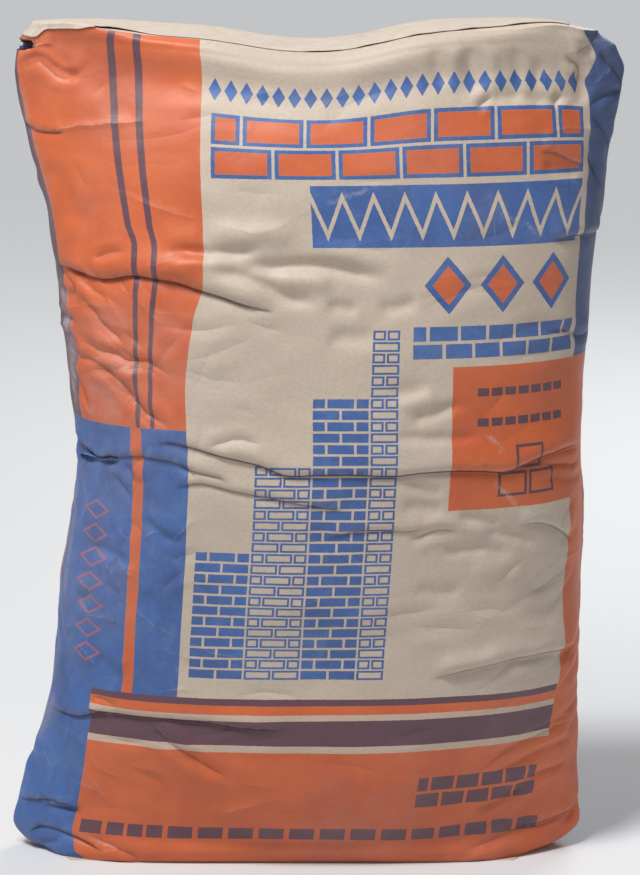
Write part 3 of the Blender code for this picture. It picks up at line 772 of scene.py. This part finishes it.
def sheet_mesh(upper, lower):
    """A closed thin sheet between two grids of points of the same size."""
    mesh = bmesh.new()
    tops = [[mesh.verts.new(p) for p in row] for row in upper]
    bottoms = [[mesh.verts.new(p) for p in row] for row in lower]
    rows, columns = len(upper), len(upper[0])
    for i in range(rows - 1):
        for j in range(columns - 1):
            mesh.faces.new((tops[i][j], tops[i][j + 1], tops[i + 1][j + 1], tops[i + 1][j]))
            mesh.faces.new((bottoms[i][j], bottoms[i + 1][j], bottoms[i + 1][j + 1], bottoms[i][j + 1]))
    rim = [(0, j) for j in range(columns)] + [(i, columns - 1) for i in range(1, rows)]
    rim += [(rows - 1, j) for j in range(columns - 2, -1, -1)] + [(i, 0) for i in range(rows - 2, 0, -1)]
    for (i, j), (m, n) in zip(rim, rim[1:] + rim[:1]):
        mesh.faces.new((tops[i][j], bottoms[i][j], bottoms[m][n], tops[m][n]))
    bmesh.ops.recalc_face_normals(mesh, faces=mesh.faces)
    return mesh


def edge_ring(skin, row):
    """A row's points beside the left edge: how far around from it, the front being +, and where."""
    half = BACK_COLUMNS // 2
    around = np.concatenate([skin.around[-half:] - 2.0 * FLAT_WIDTH, skin.around[:FRONT_COLUMNS // 2]])
    return around, np.vstack([skin.points[row, -half:], skin.points[row, :FRONT_COLUMNS // 2]])


def edge_point(skin, row, around):
    """The point of a row that lies so far around from the left edge."""
    places, ring = edge_ring(skin, row)
    return np.array([np.interp(around, places, ring[:, axis]) for axis in range(3)])


def wall_point(skin, height, around):
    """The point of the wall at a height, beside the left edge."""
    row = min(int(np.searchsorted(skin.heights, height, side="right")) - 1, skin.rows - 2)
    share = (height - skin.heights[row]) / (skin.heights[row + 1] - skin.heights[row])
    return edge_point(skin, row, around) * (1.0 - share) + edge_point(skin, row + 1, around) * share


def top_edges(skin, x):
    """The front and back points of the top end's rim at x, as (y, z)."""
    front = skin.points[-1, :FRONT_COLUMNS + 1]
    back = np.vstack([skin.points[-1, FRONT_COLUMNS:], skin.points[-1, :1]])[::-1]
    return [(np.interp(x, rim[:, 0], rim[:, 1]), np.interp(x, rim[:, 0], rim[:, 2])) for rim in (front, back)]


def top_point(skin, x, y, overhang=0.0):
    """The point of the top end at x and y, kept within its rim."""
    (y_front, z_front), (y_back, z_back) = top_edges(skin, x)
    y = min(max(y, y_front - overhang), y_back)
    share = min(max((y - y_front) / (y_back - y_front), 0.0), 1.0)
    return np.array([x, y, z_front + (z_back - z_front) * share])


def edge_lift(x):
    """How far the top strip's loose front edge stands up at x."""
    left = 0.0013 * smooth_step((x + 0.215) / 0.010) * smooth_step((-0.120 - x) / 0.040)
    waves = 0.0004 + 0.0003 * math.sin(x * 160.0) + 0.0001 * math.sin(x * 307.0 + 1.0)
    right = waves * smooth_step((x + 0.020) / 0.020) * smooth_step((0.205 - x) / 0.015)
    return left + right


def strip_front(x):
    """The strip's front edge, which runs back towards the right."""
    nicks = 0.0016 * math.exp(-((x - 0.060) / 0.004) ** 2) + 0.0020 * math.exp(-((x - 0.094) / 0.003) ** 2)
    hollow = 0.014 * math.exp(-((x + 0.150) / 0.022) ** 2)
    return STRIP_FRONT + 0.042 * smooth_step((x - 0.085) / 0.120) + hollow - nicks


def top_strip(skin, material):
    """The strip over the top end: its front edge has come loose, and its left end turns down."""
    rng = np.random.default_rng(11)
    across = 36
    along = 170
    ragged = np.convolve(rng.normal(size=along + 40), np.ones(7) / 7, mode="same") * 0.0012
    turned = 8
    corner_lift = 0.0009
    places = np.linspace(STRIP_CORNER, -STRIP_CORNER, across + 1)
    grid = []
    lift = []
    for k in range(turned):
        line = []
        rise = []
        for place in places:
            corner = smooth_step((abs(place) - 0.018) / 0.008)
            lap = STRIP_WRAP + (STRIP_LAP - STRIP_WRAP) * corner
            lap *= 1.0 - 0.95 * smooth_step((abs(place) - STRIP_CORNER + 0.016) / 0.016)
            from_edge = min(lap * k / turned, STRIP_CORNER - place)
            line.append(wall_point(skin, HEIGHT - lap * (1.0 - k / turned), place))
            rise.append(corner_lift * smooth_step(place / 0.030) * math.exp(-from_edge / 0.0035))
        grid.append(line)
        lift.append(rise)
    starts = [edge_point(skin, -1, place) for place in places]
    for k in range(along + 1):
        share = k / along
        settled = smooth_step(share / 0.03)
        line = []
        for j, start in enumerate(starts):
            x = start[0] + 0.0004 + (STRIP_RIGHT - start[0]) * share
            front = strip_front(x) + ragged[k]
            y = front + (STRIP_BACK + ragged[k + 30] - front) * j / across
            line.append(top_point(skin, x, start[1] + (y - start[1]) * settled, 0.0010 * settled))
        grid.append(line)
        lift.append([(corner_lift + (edge_lift(point[0]) - corner_lift) * settled)
                     * math.exp(-((1.0 - settled) * (STRIP_CORNER - place)
                                  + settled * (point[1] - line[0][1])) / 0.0060)
                     for point, place in zip(line, places)])
    grid = np.array(grid)
    lift = np.array(lift)
    out = np.cross(np.gradient(grid, axis=0), np.gradient(grid, axis=1))
    out = out / np.maximum(np.linalg.norm(out, axis=-1, keepdims=True), 1e-12)
    lower = grid + out * (lift[..., None] + 0.0004)
    return new_piece("top_strip", sheet_mesh(lower + out * STRIP_PAPER, lower), material)


def bottom_strip(material):
    """The strip under the bottom end, with rounded corners, which the bag stands on."""
    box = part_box("bottom_end_patch")
    middle = (box[0][0] + box[1][0]) / 2
    half_length = (box[1][0] - box[0][0]) / 2
    half_width = (box[1][1] - box[0][1]) / 2
    upper, lower = [], []
    for share in np.linspace(-1.0, 1.0, 81):
        corner = max(abs(share) * half_length - (half_length - 0.006), 0.0) / 0.006
        width = half_width - 0.006 * (1.0 - math.sqrt(max(1.0 - corner**2, 0.0)))
        line = [(middle + share * half_length, width * t, 0.0) for t in np.linspace(-1.0, 1.0, 17)]
        lower.append(line)
        upper.append([(x, y, 0.0006 - 0.0003 * abs(y / width) ** 8) for x, y, _ in line])
    return new_piece("bottom_strip", sheet_mesh(upper, lower), material)


def valve_mouth(skin, material):
    """The filling tube's mouth in the left end: two paper lips that close a little way in."""
    mesh = bmesh.new()
    row = int(np.argmin(np.abs(skin.heights - (MOUTH_HEIGHT - 0.0055))))
    count = 64
    rings = []
    paper = 0.0006
    stations = [(0.0, -0.0010, 1.0), (0.0, 0.001, 1.0), (0.0, 0.005, 0.90), (0.0, 0.0150, 0.30),
                (paper, 0.0140, 0.05), (paper, 0.005, 0.84), (paper, 0.001, 0.97), (paper, -0.0010, 1.0)]
    for inset, inwards, opening in stations:
        ring = []
        for k in range(count):
            turn = 2.0 * math.pi * k / count
            around = MOUTH_MIDDLE + math.cos(turn) * (MOUTH_REACH - inset - 0.30 * max(inwards, 0.0))
            full = math.copysign(abs(math.sin(turn)) ** 0.8, math.sin(turn))
            z = full * max((MOUTH_HALF + 0.0005) * opening - inset, 0.0001)
            edge = edge_point(skin, row, around)
            wave = 0.0004 * math.sin(around * 190.0) * opening
            x = edge[0] + inwards + 0.0006
            y = edge[1] - math.copysign(0.0006, edge[1])
            ring.append(mesh.verts.new((x, y, MOUTH_HEIGHT + FOOT + z + wave)))
        rings.append(ring)
    for a, b in zip(rings, rings[1:] + rings[:1]):
        if a is rings[3]:
            continue
        for k in range(count):
            after = (k + 1) % count
            mesh.faces.new((a[k], a[after], b[after], b[k]))
    mesh.faces.new(rings[3])
    mesh.faces.new(rings[4])
    bmesh.ops.triangulate(mesh, faces=[f for f in mesh.faces if len(f.verts) > 4])
    bmesh.ops.recalc_face_normals(mesh, faces=mesh.faces)
    return new_piece("valve_mouth", mesh, material)


def cement(skin, material, step=6, clearance=0.003):
    """The powder inside: the skin's shape with its folds smoothed out, a little way in from the paper."""
    plain = Skin()
    inside = np.where(np.abs(plain.t - MOUTH_HEIGHT) < 0.008, 0.0, skin.push - skin.drop)
    push = np.array(inside)
    for axis, reach in ((0, 2 * step), (1, step)):
        spread = np.array(push)
        for shift in range(1, reach + 1):
            for way in (-shift, shift):
                push = np.minimum(push, np.roll(spread, way, axis=axis))
    points = plain.rest + plain.normals(plain.rest) * (push - clearance)[..., None]
    rows = [r for r in range(0, skin.rows, step) if 0.006 < skin.heights[r] < HEIGHT - 0.025]
    mesh = bmesh.new()
    rings = [[mesh.verts.new(p) for p in points[r, ::step]] for r in rows]
    for low, high in zip(rings, rings[1:]):
        for k in range(len(low)):
            after = (k + 1) % len(low)
            mesh.faces.new((low[k], low[after], high[after], high[k]))
    for ring in (rings[0], rings[-1]):
        centre = mesh.verts.new(sum((v.co for v in ring), Vector()) / len(ring))
        for a, b in zip(ring, ring[1:] + ring[:1]):
            mesh.faces.new((a, b, centre))
    bmesh.ops.recalc_face_normals(mesh, faces=mesh.faces)
    return new_piece("cement", mesh, material)


def new_piece(name, mesh_data, material):
    mesh = bpy.data.meshes.new(name)
    mesh_data.to_mesh(mesh)
    mesh_data.free()
    mesh.shade_smooth()
    piece = bpy.data.objects.new(name, mesh)
    bpy.context.scene.collection.objects.link(piece)
    mesh.materials.append(material)
    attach(piece, "root")
    return piece


def keep_marks(piece, skin):
    """Stores on the mesh's points what the material reads: fold lines, tucks with their painted shadow lines, dusty
    places and the valve mouth's painted shade.
    """
    values = dict(skin.marks, tuck_gap=np.clip(skin.tuck_gap, 0.0, 0.02))
    for k in range(LAYERS):
        values[f"line_side_{k}"] = skin.line_side[k]
        values[f"line_force_{k}"] = skin.line_force[k]
    for name, grid in values.items():
        whole = np.zeros(len(piece.data.vertices), dtype=np.float32)
        whole[:grid.size] = grid.ravel()
        attribute = piece.data.attributes.new(name, "FLOAT", "POINT")
        attribute.data.foreach_set("value", whole)


class Paint:
    """Short calls that build one material's nodes. A value is a number, a colour or a socket."""

    def __init__(self, name):
        self.material = bpy.data.materials.new(name)
        self.material.use_nodes = True
        self.tree = self.material.node_tree
        self.shader = self.tree.nodes["Principled BSDF"]
        self.place = self.node("TexCoord").outputs["Object"]

    def node(self, kind, **settings):
        node = self.tree.nodes.new("ShaderNode" + kind)
        for name, value in settings.items():
            setattr(node, name, value)
        return node

    def plug(self, socket, value):
        if isinstance(value, bpy.types.NodeSocket):
            self.tree.links.new(value, socket)
        elif isinstance(value, tuple) and socket.type == "RGBA":
            socket.default_value = (*value, 1.0)
        else:
            socket.default_value = value

    def math(self, operation, *values):
        node = self.node("Math", operation=operation)
        for socket, value in zip(node.inputs, values):
            self.plug(socket, value)
        return node.outputs[0]

    def add(self, a, b):
        return self.math("ADD", a, b)

    def less(self, a, b):
        return self.math("SUBTRACT", a, b)

    def times(self, a, b):
        return self.math("MULTIPLY", a, b)

    def both(self, *masks):
        out = masks[0]
        for mask in masks[1:]:
            out = self.math("MINIMUM", out, mask)
        return out

    def either(self, *masks):
        out = masks[0]
        for mask in masks[1:]:
            out = self.math("MAXIMUM", out, mask)
        return out

    def ramp(self, value, low, high, start=0.0, end=1.0):
        """A smooth change from start to end while the value goes from low to high."""
        node = self.node("MapRange", interpolation_type="SMOOTHSTEP")
        for socket, number in zip(node.inputs, (value, low, high, start, end)):
            self.plug(socket, number)
        return node.outputs[0]

    def above(self, value, edge):
        return self.ramp(value, edge - PRINT_EDGE, edge + PRINT_EDGE)

    def between(self, value, low, high):
        return self.both(self.above(value, low), self.ramp(value, high - PRINT_EDGE, high + PRINT_EDGE, 1.0, 0.0))

    def box(self, x, y, left, right, low, high):
        return self.both(self.between(x, left, right), self.between(y, low, high))

    def mix(self, share, a, b, blend="MIX"):
        node = self.node("Mix", data_type="RGBA", blend_type=blend)
        self.plug(node.inputs["Factor"], share)
        self.plug(node.inputs[6], a)
        self.plug(node.inputs[7], b)
        return node.outputs[2]

    def attribute(self, name):
        return self.node("Attribute", attribute_type="GEOMETRY", attribute_name=name).outputs["Fac"]

    def stretched(self, stretch, turn=(0.0, 0.0, 0.0)):
        node = self.node("Mapping")
        self.plug(node.inputs["Vector"], self.place)
        node.inputs["Scale"].default_value = stretch
        node.inputs["Rotation"].default_value = turn
        return node.outputs[0]

    def noise(self, scale, detail=2.0, rough=0.5, twist=0.0, place=None):
        node = self.node("TexNoise")
        self.plug(node.inputs["Vector"], place or self.place)
        node.inputs["Scale"].default_value = scale
        node.inputs["Detail"].default_value = detail
        node.inputs["Roughness"].default_value = rough
        node.inputs["Distortion"].default_value = twist
        return node.outputs["Fac"]

    def cells(self, scale, place=None, feature="F1"):
        node = self.node("TexVoronoi", feature=feature)
        self.plug(node.inputs["Vector"], place or self.place)
        node.inputs["Scale"].default_value = scale
        return node.outputs["Distance"]

    def bump(self, height, strength=1.0):
        """The height is in metres."""
        node = self.node("Bump")
        node.inputs["Strength"].default_value = strength
        node.inputs["Distance"].default_value = 1.0
        self.plug(node.inputs["Height"], height)
        self.plug(self.shader.inputs["Normal"], node.outputs[0])

    def bricks(self, x, y, left, right, low, high, columns, courses, bond=0.5):
        """How far inside a brick a point of the print is, in metres, and below 0 outside them all."""
        width, height = (right - left) / columns, (high - low) / courses
        course = self.math("DIVIDE", self.less(y, low), height)
        shift = self.times(self.math("MODULO", self.math("FLOOR", course), 2.0), bond)
        column = self.add(self.math("DIVIDE", self.less(x, left), width), shift)
        gaps = []
        for cell, size in ((column, width), (course, height)):
            middle = self.math("ABSOLUTE", self.less(self.math("FRACT", cell), 0.5))
            gaps.append(self.times(self.less(0.5, middle), size))
        return self.both(*gaps, self.less(x, left), self.less(right, x), self.less(y, low), self.less(high, y))

    def lozenges(self, x, y, left, right, low, high, count):
        """From 0 at the middle of each lozenge to 1 at its edge, and over 1 outside."""
        pitch = (right - left) / count
        cell = self.less(self.math("FRACT", self.math("DIVIDE", self.less(x, left), pitch)), 0.5)
        aside = self.math("DIVIDE", self.math("ABSOLUTE", cell), 0.46)
        above = self.math("ABSOLUTE", self.math("DIVIDE", self.less(y, (low + high) / 2), (high - low) / 2))
        outside = self.times(self.less(1.0, self.between(x, left, right)), 3.0)
        return self.either(self.add(aside, above), outside)

    def zigzag(self, x, y, left, right, low, high, count, line):
        """A solid band with a bare zigzag line through it."""
        cell = self.math("FRACT", self.math("DIVIDE", self.less(x, left), (right - left) / count))
        wave = self.times(self.math("ABSOLUTE", self.less(cell, 0.5)), 2.0)
        middle = self.add(self.times(wave, 0.62 * (high - low)), low + 0.19 * (high - low))
        off = self.math("ABSOLUTE", self.less(y, middle))
        return self.both(self.box(x, y, left, right, low, high), self.above(off, line))


PRINT_EDGE = 0.0002      # half the softness of an ink's edge
LEFT_PANEL_TOP = 0.3745
PANEL_LINE = -0.095      # where the coloured left side ends
BAND_LINE = 0.217        # where the band at the right edge begins


def print_masks(paint, x, y):
    """Where each ink is printed. The lettering's places hold plain bands of bricks and lozenges."""
    def inside(value, low, high):
        return paint.between(value, low, high)

    upper = paint.above(y, LEFT_PANEL_TOP)
    left_side = inside(x, -0.217, PANEL_LINE)
    stripe = paint.box(x, y, -0.161, -0.150, 0.142, LEFT_PANEL_TOP)
    orange = [
        paint.both(left_side, upper),
        stripe,
        paint.box(x, y, 0.098, 0.300, 0.3095, 0.4255),
        paint.box(x, y, 0.2145, 0.300, -0.010, 0.3095),
        paint.box(x, y, -0.190, 0.300, -0.010, 0.152),
    ]
    blue = [
        paint.both(inside(x, -0.300, PANEL_LINE), paint.between(y, 0.1516, LEFT_PANEL_TOP),
                   paint.less(1.0, stripe)),
        paint.box(x, y, -0.300, -0.190, -0.010, 0.152),
        paint.box(x, y, BAND_LINE, 0.300, 0.4255, 0.800),
    ]
    dark = [
        paint.both(inside(x, -0.300, -0.217), upper),
        paint.both(inside(x, -0.155, -0.150), upper),
        paint.both(inside(x, -0.138, -0.133), upper),
    ]
    # the two large outlined rows, and the solid and small rows between them
    wide = paint.bricks(x, y, -0.088, 0.212, 0.573, 0.629, 6, 2)
    tall = paint.lozenges(x, y, 0.072, 0.210, 0.465, 0.515, 3)
    orange += [paint.above(wide, 0.0045), paint.ramp(tall, 0.60, 0.62, 1.0, 0.0)]
    blue += [
        paint.between(wide, 0.0012, 0.0045),
        paint.both(paint.ramp(tall, 0.60, 0.62), paint.ramp(tall, 0.90, 0.92, 1.0, 0.0)),
        paint.ramp(paint.lozenges(x, y, -0.091, 0.211, 0.637, 0.657, 24), 0.88, 0.92, 1.0, 0.0),
        paint.zigzag(x, y, -0.010, 0.211, 0.520, 0.569, 9, 0.0042),
        paint.above(paint.bricks(x, y, 0.067, 0.213, 0.431, 0.459, 6, 2), 0.0013),
    ]
    # the brick wall in the middle: dark bricks and light ones with a dark outline, in steps
    left, brick, course = -0.088, 0.021, 0.009
    for count, courses, solid in ((2, 12, True), (2, 20, False), (2, 26, True), (1, 32, False)):
        right = left + count * brick
        wall = paint.bricks(x, y, left, right, 0.168, 0.168 + courses * course, count, courses)
        blue.append(paint.above(wall, 0.0009) if solid else paint.between(wall, 0.0006, 0.0022))
        left = right
    # plain bands and rows low down, and the small marks in the orange square
    blue += [
        paint.box(x, y, -0.190, 0.212, 0.112, 0.134),
        paint.box(x, y, -0.190, 0.212, 0.1465, 0.152),
    ]
    bare = [paint.box(x, y, -0.190, 0.212, 0.106, 0.112), paint.box(x, y, -0.190, 0.212, 0.134, 0.139)]
    stack = paint.bricks(x, y, 0.138, 0.194, 0.318, 0.362, 2, 2)
    peak = paint.either(paint.ramp(y, 0.3396, 0.3404, 1.0, 0.0), inside(x, 0.152, 0.180))
    dark += [
        paint.above(paint.bricks(x, y, 0.118, 0.204, 0.400, 0.409, 7, 1), 0.0012),
        paint.above(paint.bricks(x, y, 0.118, 0.204, 0.376, 0.385, 7, 1), 0.0012),
        paint.both(paint.between(stack, 0.0010, 0.0034), peak),
        paint.above(paint.bricks(x, y, 0.094, 0.205, 0.053, 0.083, 5, 2), 0.0014),
        paint.above(paint.bricks(x, y, -0.186, 0.212, 0.020, 0.036, 17, 1), 0.0022),
    ]
    chain = paint.lozenges(y, x, 0.172, 0.312, -0.214, -0.182, 7)
    faint = paint.both(paint.ramp(chain, 0.66, 0.70), paint.ramp(chain, 0.92, 0.96, 1.0, 0.0))
    return [paint.either(*masks) for masks in (orange, blue, dark, bare)] + [faint]


def printed_paper():
    """Kraft paper with flat inks, worn on its folds, dusty and scuffed."""
    paint = Paint("printed_paper")
    uv = paint.node("UVMap", uv_map="paper").outputs[0]
    flat = paint.node("SeparateXYZ")
    paint.plug(flat.inputs[0], uv)
    ragged = paint.times(paint.less(paint.noise(420.0, 1.0), 0.5), 0.0006)
    x = paint.less(paint.times(paint.math("FRACT", paint.times(flat.outputs[0], 2.0)), FLAT_WIDTH), FLAT_WIDTH / 2)
    x = paint.add(x, ragged)
    y = paint.add(paint.times(flat.outputs[1], HEIGHT / WALL_SHARE), ragged)
    wall = paint.ramp(flat.outputs[1], WALL_SHARE, WALL_SHARE + 0.004, 1.0, 0.0)
    orange, blue, dark, bare, faint = [paint.both(mask, wall) for mask in print_masks(paint, x, y)]

    fine = paint.noise(1500.0, 2.0)
    grain = paint.noise(520.0, 3.0, 0.6, place=paint.stretched((0.6, 0.6, 1.0)))
    patches = paint.noise(16.0, 4.0, 0.6, 0.4)
    broad = paint.noise(5.0, 3.0, 0.55)
    kraft = paint.mix(paint.ramp(grain, 0.30, 0.72), (0.515, 0.415, 0.324), (0.570, 0.468, 0.373))
    kraft = paint.mix(paint.ramp(patches, 0.35, 0.70, 0.0, 0.22), kraft, (0.50, 0.395, 0.300))

    # inks lie a little thin where the paper's fibres stand up
    thin = paint.ramp(paint.add(paint.times(fine, 0.5), paint.times(grain, 0.5)), 0.52, 0.68, 0.0, 0.10)
    cover = paint.less(0.98, thin)
    orange_ink = paint.mix(paint.ramp(patches, 0.35, 0.70), ORANGE_INK, (0.54, 0.100, 0.028))
    blue_ink = paint.mix(paint.ramp(patches, 0.30, 0.72), BLUE_INK, (0.040, 0.095, 0.270))
    mottled = paint.noise(42.0, 4.0, 0.62, 0.8)
    blue_ink = paint.mix(paint.ramp(mottled, 0.50, 0.72, 0.0, 0.45), blue_ink, (0.105, 0.185, 0.380))
    blue_ink = paint.mix(paint.ramp(mottled, 0.45, 0.28, 0.0, 0.55), blue_ink, (0.026, 0.066, 0.215))
    # painted shade: the blue is darker on the band at the right edge, which turns away from the light
    blue_ink = paint.mix(paint.ramp(x, 0.205, 0.225), blue_ink, (0.032, 0.072, 0.190))
    colour = paint.mix(paint.times(orange, cover), kraft, orange_ink)
    over = paint.mix(orange, blue_ink, DARK_INK)
    over = paint.mix(wide_blue(paint, x, y), over, blue_ink)
    colour = paint.mix(paint.times(paint.both(blue, paint.less(1.0, bare)), cover), colour, over)
    colour = paint.mix(paint.times(dark, cover), colour, DARK_INK)
    colour = paint.mix(paint.times(bare, 0.9), colour, kraft)
    colour = paint.mix(paint.times(faint, 0.45), colour, orange_ink)

    # folds: painted shade and dirt in the crease bottoms, worn ink on the ridges, a painted shadow line and a worn
    # lip at the tucks
    valley_shade_and_dirt, ridge, relief = fold_lines(paint)
    tuck = paint.attribute("tuck")
    gap = paint.attribute("tuck_gap")
    specks = paint.ramp(paint.noise(160.0, 3.0, 0.6), 0.36, 0.60)
    # painted shade, with some dirt, darkens the crease lines
    colour = paint.mix(paint.times(valley_shade_and_dirt, 0.42), colour, (0.15, 0.09, 0.07))
    colour = paint.mix(paint.times(paint.times(ridge, specks), 0.40), colour, SCUFF)
    colour = paint.mix(paint.times(paint.times(paint.attribute("lip"), specks), 0.22), colour, SCUFF)
    # the tucks' painted shadow line, near black where the two rows of a tuck meet
    line = paint.ramp(gap, 0.0006, 0.0019, 1.0, 0.0)
    colour = paint.mix(paint.times(paint.times(line, tuck), 0.90), colour, (0.045, 0.022, 0.018))

    # a thin haze of cement dust in soft patches, and fine scuffs
    dusty = paint.either(paint.ramp(broad, 0.48, 0.68, 0.0, 0.13), paint.times(paint.attribute("dust"), 0.72))
    dusty = paint.times(dusty, paint.ramp(paint.noise(90.0, 3.0, 0.6), 0.30, 0.62, 0.45, 1.0))
    colour = paint.mix(dusty, colour, DUST)
    for turn, stretch, low in ((0.6, (60.0, 60.0, 3.2), 0.70), (-1.0, (50.0, 50.0, 3.6), 0.71)):
        streak = paint.noise(5.0, 3.0, 0.6, place=paint.stretched(stretch, (0.0, turn, 0.0)))
        mask = paint.times(paint.ramp(streak, low, low + 0.10), paint.ramp(patches, 0.45, 0.60))
        colour = paint.mix(paint.times(mask, 0.20), colour, SCUFF)
    colour = paint.mix(paint.times(paint.times(paint.attribute("scuff"), specks), 0.45), colour, SCUFF)
    # painted shade inside the valve's mouth
    colour = paint.mix(paint.ramp(paint.attribute("hollow"), 0.10, 0.50, 0.0, 0.92), colour, (0.035, 0.022, 0.020))
    paint.plug(paint.shader.inputs["Base Color"], colour)

    inked = paint.either(orange, blue, dark)
    rough = paint.add(paint.ramp(inked, 0.0, 1.0, 0.56, 0.48), paint.times(dusty, 0.5))
    rough = paint.add(rough, paint.times(paint.less(grain, 0.5), 0.25))
    paint.plug(paint.shader.inputs["Roughness"], rough)
    paint.shader.inputs["Specular IOR Level"].default_value = 0.50

    # small crumples, the paper's own unevenness and its fibres
    crumple = paint.math("ABSOLUTE", paint.less(paint.noise(20.0, 1.5, 0.4, 0.5,
                                                            place=paint.stretched((0.6, 0.6, 1.2))), 0.5))
    small = paint.math("ABSOLUTE", paint.less(paint.noise(55.0, 1.0, 0.4, 0.4), 0.5))
    height = paint.times(crumple, 0.0024)
    height = paint.add(height, paint.times(paint.times(small, 0.0006), paint.ramp(patches, 0.40, 0.60)))
    height = paint.add(height, paint.times(grain, 0.00002))
    height = paint.add(height, paint.times(fine, 0.00001))
    height = paint.add(height, relief)
    paint.bump(height, 0.8)
    return paint.material


def fold_lines(paint):
    """The fine lines along the folds: how dark from painted shade and dirt, how worn, and their relief in metres.
    """
    valley_shade_and_dirt, ridge, relief = [], [], None
    for k in range(LAYERS):
        away = paint.math("ABSOLUTE", paint.attribute(f"line_side_{k}"))
        force = paint.attribute(f"line_force_{k}")
        fine = paint.ramp(away, 0.0002, 0.0011, 1.0, 0.0)
        valley_shade_and_dirt.append(paint.times(fine, paint.math("MAXIMUM", paint.times(force, -1.0), 0.0)))
        ridge.append(paint.times(fine, paint.math("MAXIMUM", force, 0.0)))
        wedge = paint.math("MAXIMUM", paint.less(1.0, paint.math("DIVIDE", away, 0.0042)), 0.0)
        wedge = paint.times(paint.times(paint.times(wedge, wedge), force), 0.0011)
        relief = paint.add(relief, wedge) if relief else wedge
    return paint.either(*valley_shade_and_dirt), paint.either(*ridge), relief


def wide_blue(paint, x, y):
    """Where blue is printed on bare paper beside orange, and not over it."""
    return paint.box(x, y, -0.100, 0.300, 0.4255, 0.700)


def bare_paper(name, light, deep):
    """Unprinted kraft paper with fibres, faint creases and stains."""
    paint = Paint(name)
    grain = paint.noise(240.0, 4.0, 0.65, place=paint.stretched((0.3, 1.0, 1.0)))
    stains = paint.noise(22.0, 4.0, 0.6, 0.4)
    specks = paint.cells(300.0)
    colour = paint.mix(paint.ramp(grain, 0.28, 0.74), deep, light)
    colour = paint.mix(paint.ramp(stains, 0.48, 0.72, 0.0, 0.30), colour, DUST)
    colour = paint.mix(paint.ramp(specks, 0.10, 0.02, 0.0, 0.5), colour, (0.25, 0.17, 0.11))
    paint.plug(paint.shader.inputs["Base Color"], colour)
    paint.plug(paint.shader.inputs["Roughness"], paint.ramp(grain, 0.2, 0.8, 0.70, 0.88))
    paint.shader.inputs["Specular IOR Level"].default_value = 0.30
    crease = paint.math("ABSOLUTE", paint.less(paint.noise(38.0, 1.0, 0.4, 0.5), 0.5))
    paint.bump(paint.add(paint.times(crease, 0.0014), paint.times(grain, 0.00012)), 0.8)
    return paint.material


def cement_powder():
    paint = Paint("cement_powder")
    lumps = paint.noise(60.0, 5.0, 0.65)
    grains = paint.noise(1800.0, 3.0, 0.7)
    colour = paint.mix(lumps, (0.22, 0.22, 0.215), (0.38, 0.375, 0.36))
    colour = paint.mix(paint.ramp(grains, 0.45, 0.70, 0.0, 0.6), colour, (0.46, 0.45, 0.43))
    paint.plug(paint.shader.inputs["Base Color"], colour)
    paint.plug(paint.shader.inputs["Roughness"], paint.ramp(grains, 0.2, 0.8, 0.90, 1.0))
    paint.bump(paint.add(paint.times(lumps, 0.0020), paint.times(grains, 0.00006)), 0.8)
    return paint.material


def clay(name, colour):
    material = bpy.data.materials.new(name)
    material.use_nodes = True
    shader = material.node_tree.nodes["Principled BSDF"]
    shader.inputs["Base Color"].default_value = (*colour, 1.0)
    shader.inputs["Roughness"].default_value = 0.8
    return material


def new_light(name, kind, place, target, power):
    data = bpy.data.lights.new(name, kind)
    data.energy = power
    light = bpy.data.objects.new(name, data)
    bpy.context.scene.collection.objects.link(light)
    light.location = place
    light.rotation_euler = (Vector(target) - Vector(place)).to_track_quat("-Z", "Y").to_euler()
    return data


def build_studio():
    scene = bpy.context.scene
    floor_mesh = bmesh.new()
    bmesh.ops.create_grid(floor_mesh, x_segments=1, y_segments=1, size=30.0)
    data = bpy.data.meshes.new("floor")
    floor_mesh.to_mesh(data)
    floor_mesh.free()
    floor = bpy.data.objects.new("floor", data)
    scene.collection.objects.link(floor)
    floor.data.materials.append(clay("floor", (0.74, 0.74, 0.74)))
    world = bpy.data.worlds.new("studio")
    world.use_nodes = True
    world.node_tree.nodes["Background"].inputs["Color"].default_value = (0.93, 0.96, 1.0, 1.0)
    world.node_tree.nodes["Background"].inputs["Strength"].default_value = 0.26
    scene.world = world
    scene.view_settings.view_transform = "Standard"
    sun = new_light("sun", "SUN", (-1.2, -1.35, 3.7), (0.0, 0.0, 0.3), 1.9)
    sun.angle = math.radians(12)
    sun.color = (0.96, 0.98, 1.0)
    key = new_light("key", "AREA", (-0.32, -0.55, 1.30), (0.0, 0.0, 0.55), 5.5)
    key.size = 0.4
    rim = new_light("rim", "AREA", (0.9, 1.9, 1.9), (0.0, 0.0, 0.35), 22)
    rim.size = 1.2
    data = bpy.data.cameras.new("camera")
    camera = bpy.data.objects.new("camera", data)
    scene.collection.objects.link(camera)
    camera.location = CAMERA_PLACE
    camera.rotation_euler = (math.pi / 2 - CAMERA_TILT, 0.0, 0.0)
    data.sensor_fit = "VERTICAL"
    data.sensor_height = 36.0
    data.lens = CAMERA_FOCAL * data.sensor_height / PHOTO_HEIGHT
    scene.camera = camera


skin = shape_skin()
sack = new_piece("sack", sack_mesh(skin), printed_paper())
keep_marks(sack, skin)
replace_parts(sack, "paper_sack")
strip_paper = bare_paper("strip_paper", BARE_KRAFT, (0.50, 0.40, 0.31))
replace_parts(top_strip(skin, strip_paper), "top_end_patch")
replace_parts(bottom_strip(strip_paper), "bottom_end_patch")
# the valve's paper is coloured near black: painted shade for the inside of its mouth
valve_paper = bare_paper("valve_paper", (0.115, 0.075, 0.062), (0.070, 0.042, 0.036))
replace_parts(valve_mouth(skin, valve_paper), "valve_sleeve")
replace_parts(cement(skin, cement_powder()), "cement_fill")
build_studio()
